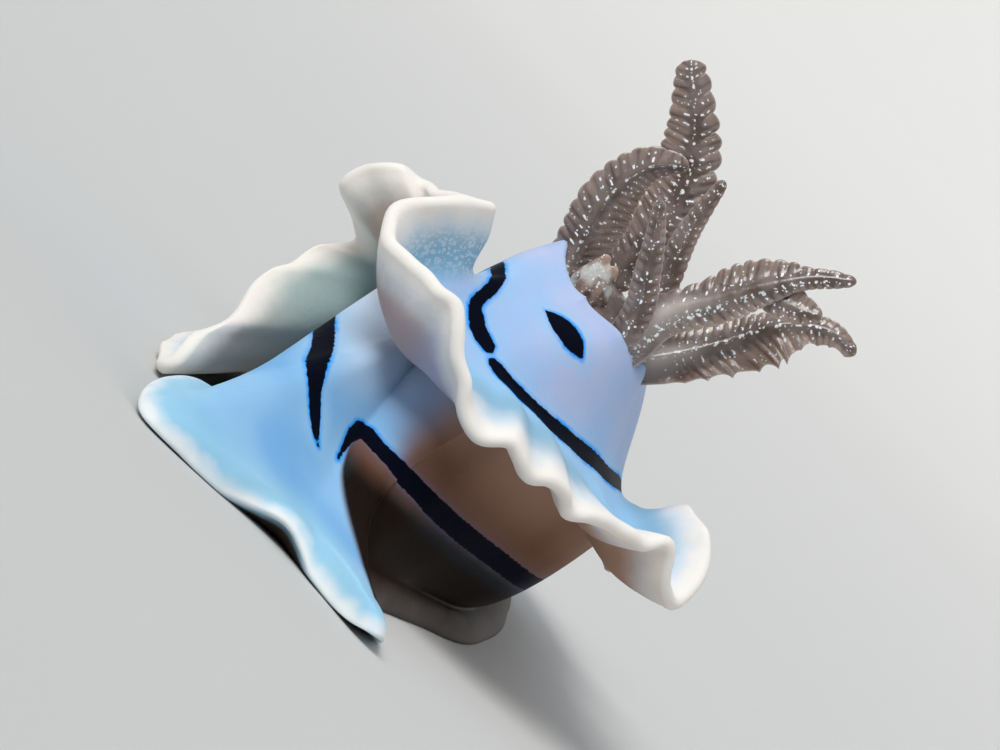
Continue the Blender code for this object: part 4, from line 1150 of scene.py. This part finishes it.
for gill_name in GILLS:
    make_gill(gill_name, gill_finish)

# %% [markdown]
# ## Rhinophores
#
# The two scent organs on the head are clubs with thin plates round them, sloping down to the rear. A profile
# turned round an axis gives the plates, and a shear leans them.

# %% Rhinophores
RHINOPHORE_ROOT = (17.3, 1.3, 5.6)
RHINOPHORE_LENGTH = 4.5
RHINOPHORE_STALK = 1.35
PLATES = 15
LEAN_BACK = 14
LEAN_OUT = 3


def rhinophore_profile():
    """Radii and heights of the club: a smooth stalk, then thin plates that get smaller to the tip."""
    profile = [(0.0, 0.0), (0.42, 0.0), (0.38, 0.6), (0.4, RHINOPHORE_STALK)]
    pitch = (RHINOPHORE_LENGTH - RHINOPHORE_STALK - 0.25) / PLATES
    for k in range(PLATES):
        height = RHINOPHORE_STALK + pitch * k
        radius = 0.64 * (1 - 0.55 * (k / PLATES) ** 1.8)
        for out, up in ((0.62, 0.15), (0.93, 0.3), (1.0, 0.45), (0.93, 0.6), (0.62, 0.8)):
            profile.append((radius * out, height + pitch * up))
    tip = ((0.17, 0.12), (0.1, 0.02), (0.0, 0.0))
    return profile + [(radius, RHINOPHORE_LENGTH - drop) for radius, drop in tip]


def turned(name, profile, steps):
    """A closed mesh turned from a profile of radii and heights."""
    shape = bmesh.new()
    points = [shape.verts.new(Vector((radius, 0.0, height)) * MM) for radius, height in profile]
    edges = [shape.edges.new(pair) for pair in zip(points, points[1:])]
    bmesh.ops.spin(shape, geom=points + edges, cent=(0, 0, 0), axis=(0, 0, 1), steps=steps,
                   angle=2 * math.pi, use_merge=True)
    bmesh.ops.remove_doubles(shape, verts=shape.verts, dist=0.0005 * MM)
    bmesh.ops.recalc_face_normals(shape, faces=shape.faces)
    mesh = bpy.data.meshes.new(name)
    shape.to_mesh(mesh)
    shape.free()
    mesh.shade_smooth()
    return mesh


for side, name in ((1, "rhinophore_left"), (-1, "rhinophore_right")):
    mesh = turned(name, rhinophore_profile(), 32)
    for vertex in mesh.vertices:
        club = min(max(vertex.co.z / MM - 0.8, 0.0), 1.0)
        vertex.co.z += vertex.co.x * 0.4 * club
    forward, apart, up = RHINOPHORE_ROOT
    middle = float(along_body(SPINE, [forward])[0])
    lean = Matrix.Shear("XY", 4, (math.tan(math.radians(LEAN_BACK)), side * math.tan(math.radians(LEAN_OUT))))
    mesh.transform(Matrix.Translation(Vector((forward, middle + side * apart, up)) * MM) @ lean)
    add_piece(name + "_club", mesh, gill_finish, "rhinophore", name)
    print(name, "faces:", len(mesh.polygons))

# %% [markdown]
# ## Vent and mouth
#
# The gut ends in a short puckered tube in the middle of the gills, and below the gills their roots join in a
# low dome of flesh. Under the mantle in front there is a blunt snout with the mouth, and a short feeler on
# either side of it. The tube, the dome and the snout are round, so each is a profile turned round an axis,
# and the tube's points are then moved in and out to fold it. A feeler is the gills' blade without its lobes.

# %% Finishes of the vent and the mouth
VENT_TAN = (0.36, 0.25, 0.19)
VENT_WHITE = (0.66, 0.65, 0.60)
VENT_DARK = (0.10, 0.055, 0.04)


def make_vent_finish():
    """Tan flesh with white and dark patches."""
    made, tree, shader = new_finish("vent_finish", VENT_TAN, 0.35, subsurface=0.4, scale=0.3, coat=0.3)
    colour = layered(
        tree, VENT_TAN,
        (ramp(tree, noise(tree, 0.7), 0.48, 0.62), VENT_WHITE),
        (ramp(tree, noise(tree, 0.45), 0.5, 0.68, 0.0, 0.8), VENT_DARK),
        (use_group(tree, FLECKS, Scale=9000.0, Size=0.4), WHITE_FLECKS_AND_GLINTS))
    finish_off(tree, shader, colour, 6000.0, 0.5, 0.03)
    return made


def make_mouth_finish():
    """The back's lilac blue, clouded with cream."""
    made, tree, shader = new_finish("mouth_finish", LILAC, 0.45, subsurface=0.4, specular=0.3, index=1.12)
    colour = layered(tree, LILAC, (ramp(tree, noise(tree, 0.8), 0.4, 0.62, 0.3, 0.6), CREAM))
    finish_off(tree, shader, colour, 6000.0, 0.3, 0.02)
    return made


vent_finish = make_vent_finish()
mouth_finish = make_mouth_finish()
print("finishes:", vent_finish.name, mouth_finish.name)

# %% The gills' roots and the vent
ROOTS_PROFILE = ((0, -1.1), (1.6, -1.1), (1.7, -0.6), (1.5, -0.1), (1.1, 0.5), (0.6, 0.92), (0, 1.05))
ROOTS_HEIGHT = 9.2
VENT_PROFILE = (  # radius, height
    (0, -0.6), (0.5, -0.6), (0.54, -0.3), (0.58, 0), (0.6, 0.25), (0.57, 0.5), (0.5, 0.75), (0.42, 0.95),
    (0.37, 1.06), (0.31, 1.08), (0.26, 1), (0.24, 0.8), (0.2, 0.5), (0.12, 0.3), (0, 0.25),
)
VENT_PLACE = (-0.95, 0.5, 9.45)
VENT_TILT = -18


def placed(mesh, place, tilt=0.0):
    """A mesh tilted about Y by some degrees and moved to its place."""
    turn = Matrix.Rotation(math.radians(tilt), 4, "Y")
    mesh.transform(Matrix.Translation(Vector(place) * MM) @ turn)
    return mesh


roots_mesh = placed(turned("gill_roots", ROOTS_PROFILE, 48), (*POCKET_CENTRE, ROOTS_HEIGHT))
add_piece("gill_roots", roots_mesh, gill_finish, "gill")
vent_mesh = turned("vent", VENT_PROFILE, 64)
for vertex in vent_mesh.vertices:
    height = max(vertex.co.z / MM, 0.0)
    turn = math.atan2(vertex.co.y, vertex.co.x)
    twist = turn + 0.9 * height
    broad = 0.16 * height * math.sin(3 * twist + 0.6)
    fold = 1 + broad + 0.09 * math.sin(7 * twist) + 0.05 * math.sin(11 * turn)
    vertex.co.x *= fold * 0.8
    vertex.co.y *= fold
    vertex.co.z += (0.3 * math.sin(turn - 1.1) + 0.1 * math.sin(4 * turn)) * height * MM
add_piece("vent", placed(vent_mesh, VENT_PLACE, VENT_TILT), vent_finish, "papilla", "anal_papilla")
print("vent points:", len(vent_mesh.vertices))

# %% Snout and feelers
SNOUT_PROFILE = (
    (0, -0.6), (0.8, -0.6), (0.86, 0.9), (0.9, 1.6), (0.86, 2), (0.66, 2.25), (0.36, 2.2), (0, 1.7),
)
SNOUT_PLACE = (20.7, 0.6, 2.05)
NO_LOBES = (1.0, 0.0, 0.0, 0)
FEELER_FORM = (9.0, 0.42, 0.18, 0.0, 0.0, NO_LOBES, NO_LOBES, ((0, 0.45, 0.45), (1, 0.2, 0.2)))
snout_mesh = placed(turned("snout_skin", SNOUT_PROFILE, 32), SNOUT_PLACE, 90)
add_piece("snout_skin", snout_mesh, mouth_finish, "skin", "snout")
for side, name in ((1, "oral_tentacle_left"), (-1, "oral_tentacle_right")):
    reach = np.linspace(0, 1, 12)
    across = 0.6 + side * (1.75 + 0.82 * reach**1.5)
    points = np.column_stack([20.2 + 2.7 * reach, across, 2.05 - 0.25 * reach])
    frames = route_frames(points, 90, 24)
    points, values = blade_rows(frames, FEELER_FORM)
    add_piece(name + "_skin", wrapped_grid(points, name + "_skin", values), mouth_finish, "skin", name)

# %% [markdown]
# ## Floor and light
#
# A studio shows an animal on a plain pale ground. A flat sheet would end in a horizon, so the floor is a wide
# dish whose edge curves up, turned from a profile as the rhinophores are. Two distant lamps with wide soft
# shadows and a pale sky light it evenly, the stronger lamp from behind and above on the left.

# %% Floor
FLOOR_PROFILE = ((0, 0), (300, 0), (600, 0), (750, 30), (850, 120), (900, 280), (920, 600))
FLOOR_GREY = (0.60, 0.60, 0.58)
floor_mesh = turned("floor", FLOOR_PROFILE, 96)
floor_mesh.materials.append(new_finish("floor_paper", FLOOR_GREY, 0.9)[0])
floor = bpy.data.objects.new("floor", floor_mesh)
bpy.context.scene.collection.objects.link(floor)
print("floor faces:", len(floor_mesh.polygons))

# %% Lamps and sky
def add_sun(name, source, strength, softness, colour):
    """A soft distant lamp that shines from a direction; its softness is an angle in degrees."""
    made = bpy.data.lights.new(name, "SUN")
    made.energy = strength
    made.angle = math.radians(softness)
    made.color = colour
    lamp = bpy.data.objects.new(name, made)
    bpy.context.scene.collection.objects.link(lamp)
    lamp.matrix_world = aimed(-Vector(source), (1.0, 0.3, 0.0), Vector(source) * 500)


add_sun("key_lamp", (-0.75, 0.55, 0.85), 2.6, 35, (1.0, 0.98, 0.95))
add_sun("fill_lamp", (-0.9, 0.3, 0.1), 0.7, 80, (0.95, 0.97, 1.0))
bpy.context.scene.view_settings.view_transform = "Standard"
world = bpy.data.worlds.new("studio")
bpy.context.scene.world = world
world.use_nodes = True
world.node_tree.nodes["Background"].inputs["Color"].default_value = (0.85, 0.9, 1.0, 1.0)
world.node_tree.nodes["Background"].inputs["Strength"].default_value = 0.62

print("lamps:", len(bpy.data.lights))
